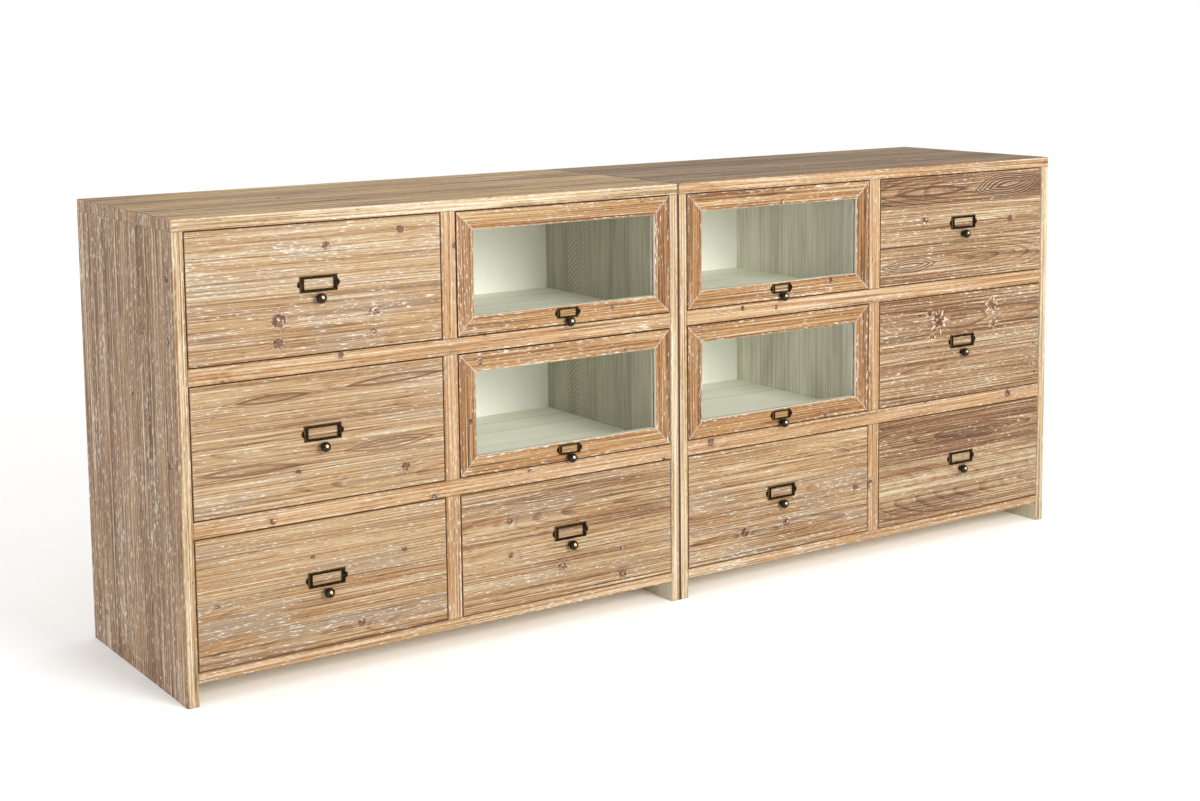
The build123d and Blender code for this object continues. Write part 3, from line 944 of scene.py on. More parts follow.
# Thin matt paint on sawn planks: chalky grey-white, streaked by the brush, with dark joints.
@dataclass(frozen=True)
class ThinPaint:
    """Thin matt paint brushed on sawn pine planks: the grain ghosts through and the joints stay dark.

    Attributes:
        joints: shares of the width where planks meet.
        paint: colour of the paint.
        bare: colour where the wood shows through.
        worn: how much wood shows through, 0 to 1.
        chevrons: share of the width of a plank with saw marks, from and to, or none.
        outer: colour of the half that lies nearer the outer edge, or none.
    """

    joints: tuple[float, ...] = ()
    paint: str = "#D6D2C0"
    bare: str = "#938A75"
    worn: float = 0.5
    chevrons: tuple[float, float] | None = None
    outer: str | None = None

    BRUSH_MM = (190.0, 2.6, 2.6)
    BRUSH_ROUGH = 0.65
    CLOUD_MM = (260.0, 60.0, 60.0)
    CLOUD_PULL = 0.5
    WORN = (0.66, 0.98)
    ROUGH = (0.3, 0.7, 0.55, 0.75)
    # How much more wood shows through each plank in turn.
    TONES = (0.0, 0.2, 0.05, 0.15, 0.02)
    JOINT = "#5C5644"
    JOINT_MM = 1.2
    JOINT_DEPTH = 0.75
    # Saw marks: pitch, slope, how the brush breaks them, one mark's darkness, and the edge of their plank.
    SAW = "#665F48"
    SAW_MM = 11.0
    SAW_SLOPE = 0.8
    SAW_BREAK = 0.6
    SAW_MARK = ((0.0, 0.0), (0.45, 0.0), (0.65, 0.85), (0.9, 0.0))
    SAW_EDGE = 0.004

    def lay_on(self, tree: Tree, ground: Ground) -> Surface:
        """Adds the nodes of the paint.

        Args:
            tree: node tree of the material.
            ground: place on the board.

        Returns:
            The paint's surface.
        """
        share = ground.share(tree)
        step = ground.paces(tree, self.BRUSH_MM)
        feed = {"Vector": step, "Scale": 1.0, "Detail": 3.0, "Roughness": self.BRUSH_ROUGH}
        brush = add(tree, "TexNoise", feed)
        step = ground.paces(tree, self.CLOUD_MM)
        cloud = add(tree, "TexNoise", {"Vector": step, "Scale": 1.0, "Detail": 1.0})
        level = add(tree, "Math.MULTIPLY_ADD", (cloud, self.CLOUD_PULL, brush))
        worn = add(tree, "MapRange", (level, *self.WORN, 0.0, self.worn))
        if self.joints:
            stops = [(at, self.TONES[i % len(self.TONES)]) for i, at in enumerate((0.0, *self.joints))]
            tone = add(tree, "ValToRGB", (share,), stops=stops, interpolation="CONSTANT")
            worn = add(tree, "Math.ADD", (tone, worn))
        colour = add(tree, "Mix", {0: worn, 6: linear(self.paint), 7: linear(self.bare)}, **COLOURS)
        if self.chevrons:
            colour = self._saw_marks(tree, ground, colour, share, brush)
        if self.joints:
            stops = thin_lines(self.joints, self.JOINT_MM / ground.width, self.JOINT_DEPTH)
            line = add(tree, "ValToRGB", (share,), stops=stops)
            colour = add(tree, "Mix", {0: line, 6: colour, 7: linear(self.JOINT)}, **COLOURS)
        if self.outer:
            half = add(tree, "Math.LESS_THAN", (ground.across, 0.0))
            colour = add(tree, "Mix", {0: half, 6: colour, 7: linear(self.outer)}, **COLOURS)
        return Surface(colour, add(tree, "MapRange", (brush, *self.ROUGH)), brush)

    def _saw_marks(self, tree: Tree, ground: Ground, colour: Socket, share: Socket, brush: Socket) -> Socket:
        """Draws the chevrons that a saw left on one plank.

        Args:
            tree: node tree of the material.
            ground: place on the board.
            colour: the paint's colour.
            share: share of the width.
            brush: noise of the brush.

        Returns:
            The colour with the saw marks.
        """
        begin, end = self.chevrons
        soft = self.SAW_EDGE
        stops = [(0.0, 0.0), (begin, 0.0), (begin + soft, 1.0), (end, 1.0), (end + soft, 0.0)]
        inside = add(tree, "ValToRGB", (share,), stops=stops)
        spine = ((begin + end) / 2 - 0.5) * ground.width
        lean = add(tree, "Math.SUBTRACT", (ground.across, spine))
        lean = add(tree, "Math.ABSOLUTE", (lean,))
        saw = add(tree, "Math.MULTIPLY_ADD", (lean, self.SAW_SLOPE, ground.along))
        saw = add(tree, "Math.DIVIDE", (saw, self.SAW_MM))
        saw = add(tree, "Math.MULTIPLY_ADD", (brush, self.SAW_BREAK, saw))
        saw = add(tree, "Math.FRACT", (saw,))
        saw = add(tree, "ValToRGB", (saw,), stops=self.SAW_MARK)
        saw = add(tree, "Math.MULTIPLY", (saw, inside))
        return add(tree, "Mix", {0: saw, 6: colour, 7: linear(self.SAW)}, **COLOURS)


# Planed softwood, unfinished: smooth, even and warm, with quiet rings.
@dataclass(frozen=True)
class PlanedPine:
    """Bare planed pine of the hidden parts: even, pale and warm, with quiet rings.

    Attributes:
        pale: colour of the early wood.
        warm: colour of the late wood.
        light: colour of the palest streaks.
    """

    pale: str = "#DCC29A"
    warm: str = "#BE9565"
    light: str = "#E8D6B4"

    RING_MM = (420.0, 7.0, 7.0)
    RING_WAVE = 0.4
    MARKS = (0.34, 0.52, 0.7)
    ROUGH = (0.3, 0.7, 0.5, 0.65)

    def lay_on(self, tree: Tree, ground: Ground) -> Surface:
        """Adds the nodes of the wood.

        Args:
            tree: node tree of the material.
            ground: place on the board.

        Returns:
            The wood's surface.
        """
        step = ground.paces(tree, self.RING_MM)
        feed = {"Vector": step, "Scale": 1.0, "Detail": 3.0, "Distortion": self.RING_WAVE}
        ring = add(tree, "TexNoise", feed)
        shades = zip(self.MARKS, (self.warm, self.pale, self.light))
        colour = add(tree, "ValToRGB", (ring,), stops=[(mark, linear(shade)) for mark, shade in shades])
        return Surface(colour, add(tree, "MapRange", (ring, *self.ROUGH)), ring)


Finish = LimedPine | ThinPaint | PlanedPine


@dataclass(frozen=True)
class FaceFinish:
    """A finish that only some faces wear.

    Attributes:
        finish: what they wear.
        facings: directions that they look in.
        lay: how their boards lie, if not as on the other faces.
    """

    finish: Finish
    facings: tuple[Facing, ...]
    lay: BoardLay | None = None

    # How far a face may lean from its direction, as a cosine.
    LEAN = 0.6

    def mask(self, tree: Tree, normal: Socket) -> Socket:
        """Finds the faces that wear the finish.

        Args:
            tree: node tree of the material.
            normal: direction that a face looks in.

        Returns:
            1 on those faces and 0 on the others.
        """
        found: Socket | None = None
        for facing in self.facings:
            toward = add(tree, "VectorMath.DOT_PRODUCT", (normal, facing.value), out="Value")
            toward = add(tree, "Math.GREATER_THAN", (toward, self.LEAN))
            found = toward if found is None else add(tree, "Math.MAXIMUM", (found, toward))
        return found


@dataclass(frozen=True)
class WoodMaterial:
    """A material of one wood finish, with others on the faces that look certain ways.

    Attributes:
        name: name of the material.
        lay: how the boards lie.
        finish: what shows on most faces.
        others: other finishes of some faces.
        relief_mm: height of the relief in mm.
    """

    name: str
    lay: BoardLay | MitredLay
    finish: Finish
    others: tuple[FaceFinish, ...] = ()
    relief_mm: float = 0.5

    RELIEF = 0.6
    IOR = 1.45

    def make(self) -> Material:
        """Builds the material.

        Returns:
            The new material.
        """
        material, tree, shader = new_material(self.name)
        ground = self.lay.ground(tree)
        surface = self.finish.lay_on(tree, ground)
        normal = add(tree, "TexCoord", out="Normal") if self.others else None
        for face in self.others:
            other = face.finish.lay_on(tree, face.lay.ground(tree) if face.lay else ground)
            mask = face.mask(tree, normal)
            surface = Surface(
                add(tree, "Mix", {0: mask, 6: surface.colour, 7: other.colour}, **COLOURS),
                add(tree, "Mix", {0: mask, 2: surface.rough, 3: other.rough}, data_type="FLOAT"),
                add(tree, "Mix", {0: mask, 2: surface.relief, 3: other.relief}, data_type="FLOAT"),
            )
        feed = {"Strength": self.RELIEF, "Distance": self.relief_mm * MM, "Height": surface.relief}
        bump = add(tree, "Bump", feed)
        feed = {"Base Color": surface.colour, "Roughness": surface.rough, "Normal": bump, "IOR": self.IOR}
        connect(tree, shader, feed)
        return material


# Cast brass, darkened in a bath and rubbed back: near black, with a coat on the balls and a bright patch on
# their crowns that is worn bare metal and a painted highlight at once.
@dataclass(frozen=True)
class AntiqueBrass:
    """Cast brass, darkened and rubbed: near black in the hollows, olive on the bevels, bright on the balls'
    crowns as worn metal and a painted highlight.

    Attributes:
        dark: colour of the patina.
        rubbed: colour of the rubbed patina.
        bared_crown_highlight: colour of the bright patch on the balls' crowns: metal worn bare by fingers,
            made light as a painted highlight.
    """

    dark: str = "#1A120B"
    rubbed: str = "#6A5630"
    bared_crown_highlight: str = "#C9AE7C"

    PATINA_MM = 3.5
    PATINA_RELIEF = 0.25
    PATINA_RELIEF_MM = 0.2
    # Wear: faces that look along no axis are bevels, unless they are round.
    BEVEL = (0.98, 0.72, 0.0, 0.45)
    FLAT_BEVEL = (0.02, 0.1, 1.0, 0.0)
    WORN_BY_PATINA = 0.9
    WORN = (0.45, 1.05, 0.0, 1.0)
    ROUGH = (0.0, 1.0, 0.42, 0.3)
    # Balls stand further out than the label holders. Their crowns, where worn metal is lightened as a painted
    # highlight, look front and a little up and left, between the lamp and the camera.
    HOLDER_MM = 3.4
    HIGHLIGHT_CROWN = (-0.14, -0.92, 0.36)
    HIGHLIGHT_CROWN_EDGE = (0.945, 0.98, 0.0, 1.0)
    COAT_ROUGH = 0.12
    COAT_IOR = 1.3

    def make(self) -> Material:
        """Builds the material.

        Returns:
            The new material.
        """
        material, tree, shader = new_material("antique_brass_darkened")
        place = add(tree, "TexCoord", out="Object")
        patina = add(tree, "TexNoise", {"Vector": place, "Scale": 1 / (self.PATINA_MM * MM), "Detail": 3.0})
        normal = place.node.outputs["Normal"]
        flat = add(tree, "VectorMath.ABSOLUTE", (normal,))
        side = add(tree, "SeparateXYZ", (flat,), out="X")
        front, up = side.node.outputs["Y"], side.node.outputs["Z"]
        most = add(tree, "Math.MAXIMUM", (side, front))
        most = add(tree, "Math.MAXIMUM", (most, up))
        least = add(tree, "Math.MINIMUM", (side, up))
        bevel = add(tree, "MapRange", (most, *self.BEVEL))
        plain = add(tree, "MapRange", (least, *self.FLAT_BEVEL))
        slant = add(tree, "Math.MULTIPLY", (bevel, plain))
        worn = add(tree, "Math.MULTIPLY_ADD", (patina, self.WORN_BY_PATINA, slant))
        worn = add(tree, "MapRange", (worn, *self.WORN))
        colour = add(tree, "Mix", {0: worn, 6: linear(self.dark), 7: linear(self.rubbed)}, **COLOURS)
        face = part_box("left_upper_drawer_front")[0].y - self.HOLDER_MM * MM
        depth = add(tree, "SeparateXYZ", (place,), out="Y")
        ball = add(tree, "Math.LESS_THAN", (depth, face))
        # Painted highlight: ball faces that look between the lamp and the camera get the bright bare-metal
        # colour, which stands in for the lamp's gleam as well as for wear.
        crown_highlight = add(tree, "VectorMath.DOT_PRODUCT", (normal, self.HIGHLIGHT_CROWN), out="Value")
        crown_highlight = add(tree, "MapRange", (crown_highlight, *self.HIGHLIGHT_CROWN_EDGE))
        crown_highlight = add(tree, "Math.MULTIPLY", (crown_highlight, ball))
        relief = {"Strength": self.PATINA_RELIEF, "Distance": self.PATINA_RELIEF_MM * MM, "Height": patina}
        feed = {
            "Base Color": add(tree, "Mix", {0: crown_highlight, 6: colour, 7: linear(self.bared_crown_highlight)}, **COLOURS),
            "Metallic": 1.0,
            "Roughness": add(tree, "MapRange", (worn, *self.ROUGH)),
            "Normal": add(tree, "Bump", relief),
            "Coat Weight": ball,
            "Coat Roughness": self.COAT_ROUGH,
            "Coat IOR": self.COAT_IOR,
        }
        connect(tree, shader, feed)
        return material


# Drawn sheet glass: the eye looks through it and sees a faint green and a reflection at a slant.
@dataclass(frozen=True)
class ClearGlass:
    """Drawn sheet glass: clear, faintly green, with a thin reflection that grows at a slant.

    Attributes:
        tint: colour of the glass.
        pale: colour where the sheet is thinner.
    """

    tint: str = "#9FB0A4"
    pale: str = "#B4C2B6"

    RIPPLE_MM = 60.0
    RIPPLE_RELIEF = 0.1
    RIPPLE_RELIEF_MM = 0.3
    GRAZE = 4.0
    COVER = (0.0, 1.0, 0.015, 0.4)
    ROUGH = 0.03
    IOR = 1.52

    def make(self) -> Material:
        """Builds the material.

        Returns:
            The new material.
        """
        material, tree, shader = new_material("drawn_sheet_glass")
        place = add(tree, "TexCoord", out="Object")
        ripple = add(tree, "TexNoise", {"Vector": place, "Scale": 1 / (self.RIPPLE_MM * MM), "Detail": 1.0})
        relief = {"Strength": self.RIPPLE_RELIEF, "Distance": self.RIPPLE_RELIEF_MM * MM, "Height": ripple}
        tints = {0: ripple, 6: linear(self.tint), 7: linear(self.pale)}
        graze = add(tree, "LayerWeight", {"Blend": 0.5}, out="Facing")
        graze = add(tree, "Math.POWER", (graze, self.GRAZE))
        feed = {
            "Base Color": add(tree, "Mix", tints, **COLOURS),
            "Alpha": add(tree, "MapRange", (graze, *self.COVER)),
            "Normal": add(tree, "Bump", relief),
            "Roughness": self.ROUGH,
            "IOR": self.IOR,
        }
        connect(tree, shader, feed)
        return material


# Turned steel, zinc-plated: a pale cool grey with a soft, finely broken shine.
@dataclass(frozen=True)
class ZincSteel:
    """Zinc-plated turned steel: pale grey, finely ringed by the lathe.

    Attributes:
        pale: colour of the bright zinc.
        dull: colour of the dulled zinc.
    """

    pale: str = "#B9BBBC"
    dull: str = "#8C8E90"

    RING_MM = 1.2
    ROUGH = (0.0, 1.0, 0.3, 0.5)

    def make(self) -> Material:
        """Builds the material.

        Returns:
            The new material.
        """
        material, tree, shader = new_material("zinc_plated_steel")
        place = add(tree, "TexCoord", out="Object")
        ring = add(tree, "TexNoise", {"Vector": place, "Scale": 1 / (self.RING_MM * MM), "Detail": 2.0})
        zincs = {0: ring, 6: linear(self.dull), 7: linear(self.pale)}
        feed = {
            "Base Color": add(tree, "Mix", zincs, **COLOURS),
            "Metallic": 1.0,
            "Roughness": add(tree, "MapRange", (ring, *self.ROUGH)),
        }
        connect(tree, shader, feed)
        return material


def dress(node: str, material: Material) -> None:
    """Gives a CAD node its material.

    Args:
        node: name of the node.
        material: what it wears.
    """
    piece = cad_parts[node]
    for slot in piece.material_slots:
        slot.material = material
    LOG.info("%s wears %s", node, material.name)


# Finishes that more than one board wears.
EDGE_PINE = LimedPine(
    planks=(Plank(1.0, 0.56, 0.5, (1.5, 0.4)),),
    lime=0.6,
    rim=0.12,
    grey=0.15,
    tilt=0.02,
    contrast=1.3,
    shades=LIMED_EDGE,
)
RAIL_PINE = LimedPine(lime=0.55, grey=0.15, tilt=0.02, shades=PALE_RAIL)
GREY_PINE = LimedPine(coarse=1.6, shades=GREY_END, chalk="#D9CDB8", weathered="#8B7968")
RED_PINE = LimedPine(
    lime=0.6,
    grey=0.12,
    tilt=0.09,
    ring_mm=4.5,
    coarse=1.2,
    contrast=1.15,
    shades=RED_FRONT,
    chalk="#C0B39C",
    loop="#43240F",
)
# Side walls of the compartments: thinner paint with more bare wood and saw marks, which are their own. The
# paint is also drawn much darker than that of the partition, shelves and back, as painted shade on walls that
# the lamp only grazes.
SHADED_WALL_PAINT = ThinPaint((0.3, 0.63, 0.8), "#C6C0AB", "#8B8370", 0.7, (0.63, 0.8))
PARTITION_PAINT = ThinPaint((0.15, 0.35, 0.62, 0.8), "#F3EFDD", "#A9A28D", 0.7)
SHELF_PAINT = ThinPaint((0.2, 0.42, 0.66, 0.84), "#FBFCEE", "#E3E3CF", 0.6)
BACK_PAINT = ThinPaint((), "#FAFCEE", "#E9EBD8", 0.35)
LIP_PAINT = ThinPaint((), "#CFCCBC", "#A39A85", outer="#4E3520")
PANEL_BACK = PlanedPine("#C9AC80", "#A98456", "#D6C09A")
FRONT_EDGE = PlanedPine("#7A5838", "#54391F", "#8A6848")


@dataclass
class Carcass:
    """Case of both cabinets: sides, tops, decks, backs, partitions and shelves.

    Attributes:
        plank_mm: usual width of a glued plank.
        side_tones: tones of the end panels' planks in turn.
        top_tones: tones of the tops' planks in turn.
    """

    plank_mm: float = 95.0
    side_tones: tuple[float, ...] = (0.52, 0.4, 0.56, 0.46, 0.5)
    top_tones: tuple[float, ...] = (0.6, 0.42, 0.64, 0.48)

    # Chance of each board, left and right.
    SEEDS = {
        "outer_side": (0.37, 0.58),
        "outer_front": (0.83, 0.94),
        "inner_side": (0.71, 0.84),
        "top": (0.15, 0.55),
        "deck": (0.63, 0.83),
        "partition": (0.27, 0.57),
        "shelves": (0.57, 0.87),
        "back_panel": (0.77, 0.97),
    }
    # Where a plank's rings close, in lengths of the board and shares of the plank.
    EYE_ALONG = (1.4, -0.7)
    EYE_ACROSS = (0.3, 0.5, 0.7)

    def _lay(self, side: str, kind: str, lie: Lie) -> BoardLay:
        """Lays one board of a cabinet, with its own chance."""
        return BoardLay.of(f"{side}_{kind}", lie, self.SEEDS[kind][SIDES.index(side)])

    def planks(self, width_mm: float, tones: tuple[float, ...], figure: float) -> tuple[Plank, ...]:
        """Divides a board into glued planks, whose rings close beyond one end and the other in turn.

        Args:
            width_mm: width of the board.
            tones: tones that the planks take in turn.
            figure: strength of their rings.

        Returns:
            The planks from one edge to the other.
        """
        count = max(1, round(width_mm / self.plank_mm))
        planks = []
        for i in range(count):
            eye = (self.EYE_ALONG[i % 2], (i + self.EYE_ACROSS[i % 3]) / count)
            planks.append(Plank((i + 1) / count, tones[i % len(tones)], figure, eye))
        return tuple(planks)

    def dress(self, steel: Material) -> None:
        """Gives each case node its material.

        Args:
            steel: what the bolts wear.
        """
        for number, side in enumerate(SIDES):
            self._sides(side, number)
            self._boards(side, number)
            self._insides(side)
        lay = BoardLay.of("flap_stops", Lie.ACROSS_FRONT, 0.9)
        dress("flap_stops", WoodMaterial("painted_pine_stops", lay, ThinPaint(worn=0.3)).make())
        lay = replace(lay, lie=Lie.BACKWARD, seed=0.4)
        bare = WoodMaterial("planed_pine_runners", lay, PlanedPine()).make()
        for node in ("drawer_runners", "drawer_stops"):
            dress(node, bare)
        dress("joining_bolts", steel)

    def _sides(self, side: str, number: int) -> None:
        """Dresses a cabinet's two side panels.

        Args:
            side: left or right.
            number: 0 for left, 1 for right.
        """
        inward, outward = (Facing.LEFT, Facing.RIGHT) if number else (Facing.RIGHT, Facing.LEFT)
        lay = self._lay(side, "outer_side", Lie.UP_END)
        planks = self.planks(lay.span_mm(1), self.side_tones, 0.55)
        wood = replace(GREY_PINE, planks=planks, knot_share=0.4, lime=1.0, contrast=1.4)
        upright = replace(lay, lie=Lie.UP_FRONT, seed=self.SEEDS["outer_front"][number])
        faces = (FaceFinish(SHADED_WALL_PAINT, (inward,)), FaceFinish(EDGE_PINE, (Facing.FRONT,), upright))
        dress(f"{side}_outer_side", WoodMaterial(f"limed_pine_{side}_end", lay, wood, faces).make())
        lay = self._lay(side, "inner_side", Lie.UP_END)
        seam = (0.5 - number) * lay.span_mm(0)
        front = replace(EDGE_PINE, grey=0.1, seam=("Y", seam))
        faces = (
            FaceFinish(SHADED_WALL_PAINT, (outward,)),
            FaceFinish(front, (Facing.FRONT,), replace(lay, lie=Lie.UP_FRONT)),
        )
        wood = replace(EDGE_PINE, seam=("Z", -seam))
        dress(f"{side}_inner_side", WoodMaterial(f"limed_pine_{side}_inner_side", lay, wood, faces).make())

    def _boards(self, side: str, number: int) -> None:
        """Dresses a cabinet's top and deck.

        Args:
            side: left or right.
            number: 0 for left, 1 for right.
        """
        lay = self._lay(side, "top", Lie.FLAT)
        seam = ("X", (0.5 - number) * lay.span_mm(0))
        wood = LimedPine(
            planks=self.planks(lay.span_mm(1), self.top_tones, 0.5),
            knot_share=0.15,
            lime=0.4,
            grey=0.15,
            coarse=3.5,
            contrast=1.5,
            seam=seam,
            shades=DARK_TOP if number else TOP_WOOD,
            chalk="#C9BDA5",
        )
        edge = replace(EDGE_PINE, lime=0.5, contrast=1.5, seam=seam)
        if number:
            edge = replace(edge, planks=(Plank(1.0, 0.46, 0.5, (1.5, 0.4)),), shades=PALE_RAIL)
        end = replace(GREY_PINE, lime=0.95, grey=0.5)
        faces = (
            FaceFinish(ThinPaint(worn=0.4), (Facing.DOWN,)),
            FaceFinish(edge, (Facing.FRONT,), replace(lay, lie=Lie.ACROSS_FRONT)),
            FaceFinish(end, (Facing.LEFT, Facing.RIGHT), replace(lay, lie=Lie.UP_END, seed=0.45)),
        )
        dress(f"{side}_top", WoodMaterial(f"limed_pine_{side}_top", lay, wood, faces).make())
        lay = self._lay(side, "deck", Lie.FLAT)
        wood = replace(RAIL_PINE, planks=(Plank(1.0, 0.6, 0.4, (1.4, 0.1)),))
        edge = replace(wood, lime=0.75, rim=0.1, contrast=1.3)
        faces = (
            FaceFinish(PlanedPine(), (Facing.DOWN, Facing.BACK)),
            FaceFinish(edge, (Facing.FRONT,), replace(lay, lie=Lie.ACROSS_FRONT)),
        )
        dress(f"{side}_deck", WoodMaterial(f"limed_pine_{side}_deck", lay, wood, faces).make())

    def _insides(self, side: str) -> None:
        """Dresses a cabinet's partition, shelves and back.

        Args:
            side: left or right.
        """
        back = (FaceFinish(PANEL_BACK, (Facing.BACK,)),)
        for kind, name, lie, paint, faces in (
            ("partition", f"painted_pine_{side}_partition", Lie.UP_END, PARTITION_PAINT, ()),
            ("shelves", f"painted_pine_{side}_shelves", Lie.FLAT, SHELF_PAINT, ()),
            ("back_panel", f"painted_panel_{side}_back", Lie.UP_FRONT, BACK_PAINT, back),
        ):
            lay = self._lay(side, kind, lie)
            dress(f"{side}_{kind}", WoodMaterial(name, lay, paint, faces).make())


@dataclass
class FaceFrame:
    """Rails and stiles between the fronts.

    Attributes:
        rail_mm: length and height of a rail.
        stile_mm: length and width of a stile.
    """

    rail_mm: tuple[float, float] = (1072.0, 32.0)
    stile_mm: tuple[float, float] = (250.0, 32.0)

    def dress(self) -> None:
        """Gives the rails and stiles their materials."""
        planks = (Plank(1.0, 0.54, 0.5, (1.7, 0.2)),)
        wood = replace(RAIL_PINE, planks=planks, knot_share=0.9, rim=0.1, contrast=1.25)
        low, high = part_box("front_rails")
        span = (high - low) / MM
        steps = (span.x - self.rail_mm[0], span.z - self.rail_mm[1])
        lay = BoardLay(low, high, Lie.ACROSS_FRONT, 0.33, *steps, self.rail_mm)
        dress("front_rails", WoodMaterial("limed_pine_rails", lay, wood).make())
        low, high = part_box("centre_stiles")
        span = (high - low) / MM
        steps = ((span.z - self.stile_mm[0]) / 2, span.x - self.stile_mm[1])
        lay = BoardLay(low, high, Lie.UP_FRONT, 0.58, *steps, self.stile_mm)
        dress("centre_stiles", WoodMaterial("limed_pine_stiles", lay, wood).make())


# Planks, knots and loops of each drawer's front, where the photograph shows them.
FRONT_WOOD: dict[str, LimedPine] = {
    "left_upper": LimedPine(
        planks=(Plank(0.45, 0.44, 0.55, (0.5, 0.2)), Plank(1.0, 0.58, 0.45, (1.15, 0.8))),
        knots=(
            Knot(0.534, 0.18, 7),
            Knot(0.341, 0.72, 11),
            Knot(0.337, 0.89, 8),
            Knot(0.72, 0.72, 9),
            Knot(0.714, 0.88, 6),
            Knot(0.833, 0.1, 7),
        ),
        lime=0.75,
        grey=0.4,
    ),
    "left_middle": LimedPine(
        planks=(
            Plank(0.3, 0.54, 0.6, (1.3, 0.1)),
            Plank(0.62, 0.52, 0.6, (0.86, 0.48)),
            Plank(0.76, 0.46, 0.35, (1.5, 0.7)),
            Plank(1.0, 0.55, 0.5, (1.4, 0.87)),
        ),
        knots=(Knot(0.836, 0.83, 8), Knot(0.4, 0.75, 5)),
        flames=(
            Flame(0.31, 0.16, (100, 13), 1.6),
            Flame(0.8, 0.12, (110, 9), 1.0, 0.04),
            Flame(0.77, 0.62, (100, 12), 2.0, 0.02, 0.8),
            Flame(0.22, 0.68, (110, 10), 1.0, -0.02, 0.8),
        ),
        lime=0.55,
    ),
    "left_lower": LimedPine(
        planks=(
            Plank(0.22, 0.36, 0.6, (1.2, 0.1)),
            Plank(0.52, 0.42, 0.6, (0.5, 0.4)),
            Plank(1.0, 0.5, 0.3, (-0.4, 0.8)),
        ),
        knots=(Knot(0.82, 0.35, 5), Knot(0.447, 0.28, 4), Knot(0.636, 0.87, 7), Knot(0.075, 0.53, 4)),
        lime=0.7,
        grey=0.55,
    ),
    "left_inner": LimedPine(
        planks=(
            Plank(0.3, 0.46, 0.5, (0.6, 0.1)),
            Plank(0.55, 0.5, 0.5, (1.4, 0.45)),
            Plank(1.0, 0.42, 0.9, (1.25, 0.72)),
        ),
        knots=(
            Knot(0.216, 0.28, 6),
            Knot(0.22, 0.57, 5),
            Knot(0.459, 0.75, 8),
            Knot(0.753, 0.92, 8),
            Knot(0.75, 0.7, 4),
        ),
        flames=(Flame(0.5, 0.12, (170, 9), 2.0, 0.02, 0.8), Flame(0.75, 0.42, (120, 8), 2.0, 0.03, 0.7)),
        lime=0.6,
        contrast=1.2,
    ),
    "right_inner": LimedPine(
        planks=(
            Plank(0.3, 0.42, 0.9, (0.32, 0.2)),
            Plank(0.6, 0.44, 0.5, (1.3, 0.5)),
            Plank(1.0, 0.48, 0.45, (-0.5, 0.8)),
        ),
        knots=(Knot(0.3, 0.78, 9), Knot(0.53, 0.76, 8), Knot(0.93, 0.56, 7)),
        flames=(Flame(0.4, 0.78, (150, 14), 3.0, 0.0, 0.5),),
        lime=0.7,
        grey=0.45,
        coarse=1.15,
        contrast=1.2,
    ),
    "right_upper": replace(
        RED_PINE,
        planks=(
            Plank(0.36, 0.46, 1.0, (0.2, 0.2)),
            Plank(0.72, 0.56, 0.5, (0.3, 0.55)),
            Plank(1.0, 0.3, 0.8, (1.0, 0.86)),
        ),
        knots=(Knot(0.264, 0.42, 8), Knot(0.8, 0.47, 7)),
        flames=(
            Flame(0.17, 0.83, (85, 17), 3.0, 0.0, 0.9, 0.3),
            Flame(0.62, 0.8, (80, 9), 2.0, 0.03, 0.7),
            Flame(0.3, 0.14, (120, 12), 1.0, 0.02),
            Flame(0.8, 0.14, (120, 26), 5.0, 0.02, 1.0, 0.35),
        ),
    ),
    "right_middle": replace(
        RED_PINE,
        planks=(Plank(0.5, 0.46, 0.6, (1.3, 0.3)), Plank(1.0, 0.42, 0.8, (-0.4, 0.75))),
        knots=(
            Knot(0.3, 0.16, 7),
            Knot(0.36, 0.24, 15),
            Knot(0.69, 0.15, 11),
            Knot(0.7, 0.33, 8),
            Knot(0.314, 0.4, 7),
            Knot(0.52, 0.39, 4),
            Knot(0.97, 0.6, 5),
            Knot(0.96, 0.8, 5),
        ),
        lime=0.7,
        grey=0.2,
        tilt=0.06,
        ring_mm=5.5,
        contrast=1.2,
        fan=1.0,
    ),
    "right_lower": replace(
        RED_PINE,
        planks=(
            Plank(0.24, 0.46, 0.8, (1.3, 0.22)),
            Plank(0.58, 0.62, 0.4, (-0.6, 0.4)),
            Plank(1.0, 0.27, 0.8, (0.62, 0.78)),
        ),
        knots=(Knot(0.72, 0.27, 4),),
        flames=(Flame(0.35, 0.86, (150, 13), 3.0, 0.0, 0.7), Flame(0.62, 0.22, (130, 15), 3.0, 0.03, 0.8)),
    ),
}


@dataclass
class DrawerBank:
    """The eight drawers: boarded fronts, planed boxes and dark pulls.

    Attributes:
        seed: chance of the first drawer.
        seed_step: how much the chance changes from drawer to drawer.
        seed_shift: how much the chance changes from cabinet to cabinet.
    """

    seed: float = 0.113
    seed_step: float = 0.237
    seed_shift: float = 0.071

    def dress(self, brass: Material) -> None:
        """Gives each drawer's nodes their materials.

        Args:
            brass: what the pulls wear.
        """
        faces = (FaceFinish(FRONT_EDGE, EDGES), FaceFinish(PlanedPine(), (Facing.BACK,)))
        for number, side in enumerate(SIDES):
            for place, drawer in enumerate(DRAWERS):
                name = f"{side}_{drawer}"
                seed = self.seed + self.seed_step * place + self.seed_shift * number
                lay = BoardLay.of(f"{name}_drawer_front", Lie.ACROSS_FRONT, seed)
                wood = WoodMaterial(f"limed_pine_{name}_front", lay, FRONT_WOOD[name], faces)
                dress(f"{name}_drawer_front", wood.make())
                lay = BoardLay.of(f"{name}_drawer_box", Lie.BACKWARD, seed)
                across = replace(lay, lie=Lie.ACROSS_FRONT)
                ends = (FaceFinish(PlanedPine(), (Facing.FRONT, Facing.BACK), across),)
                box = WoodMaterial(f"planed_pine_{name}_box", lay, PlanedPine(), ends)
                dress(f"{name}_drawer_box", box.make())
                dress(f"{name}_drawer_pull", brass)


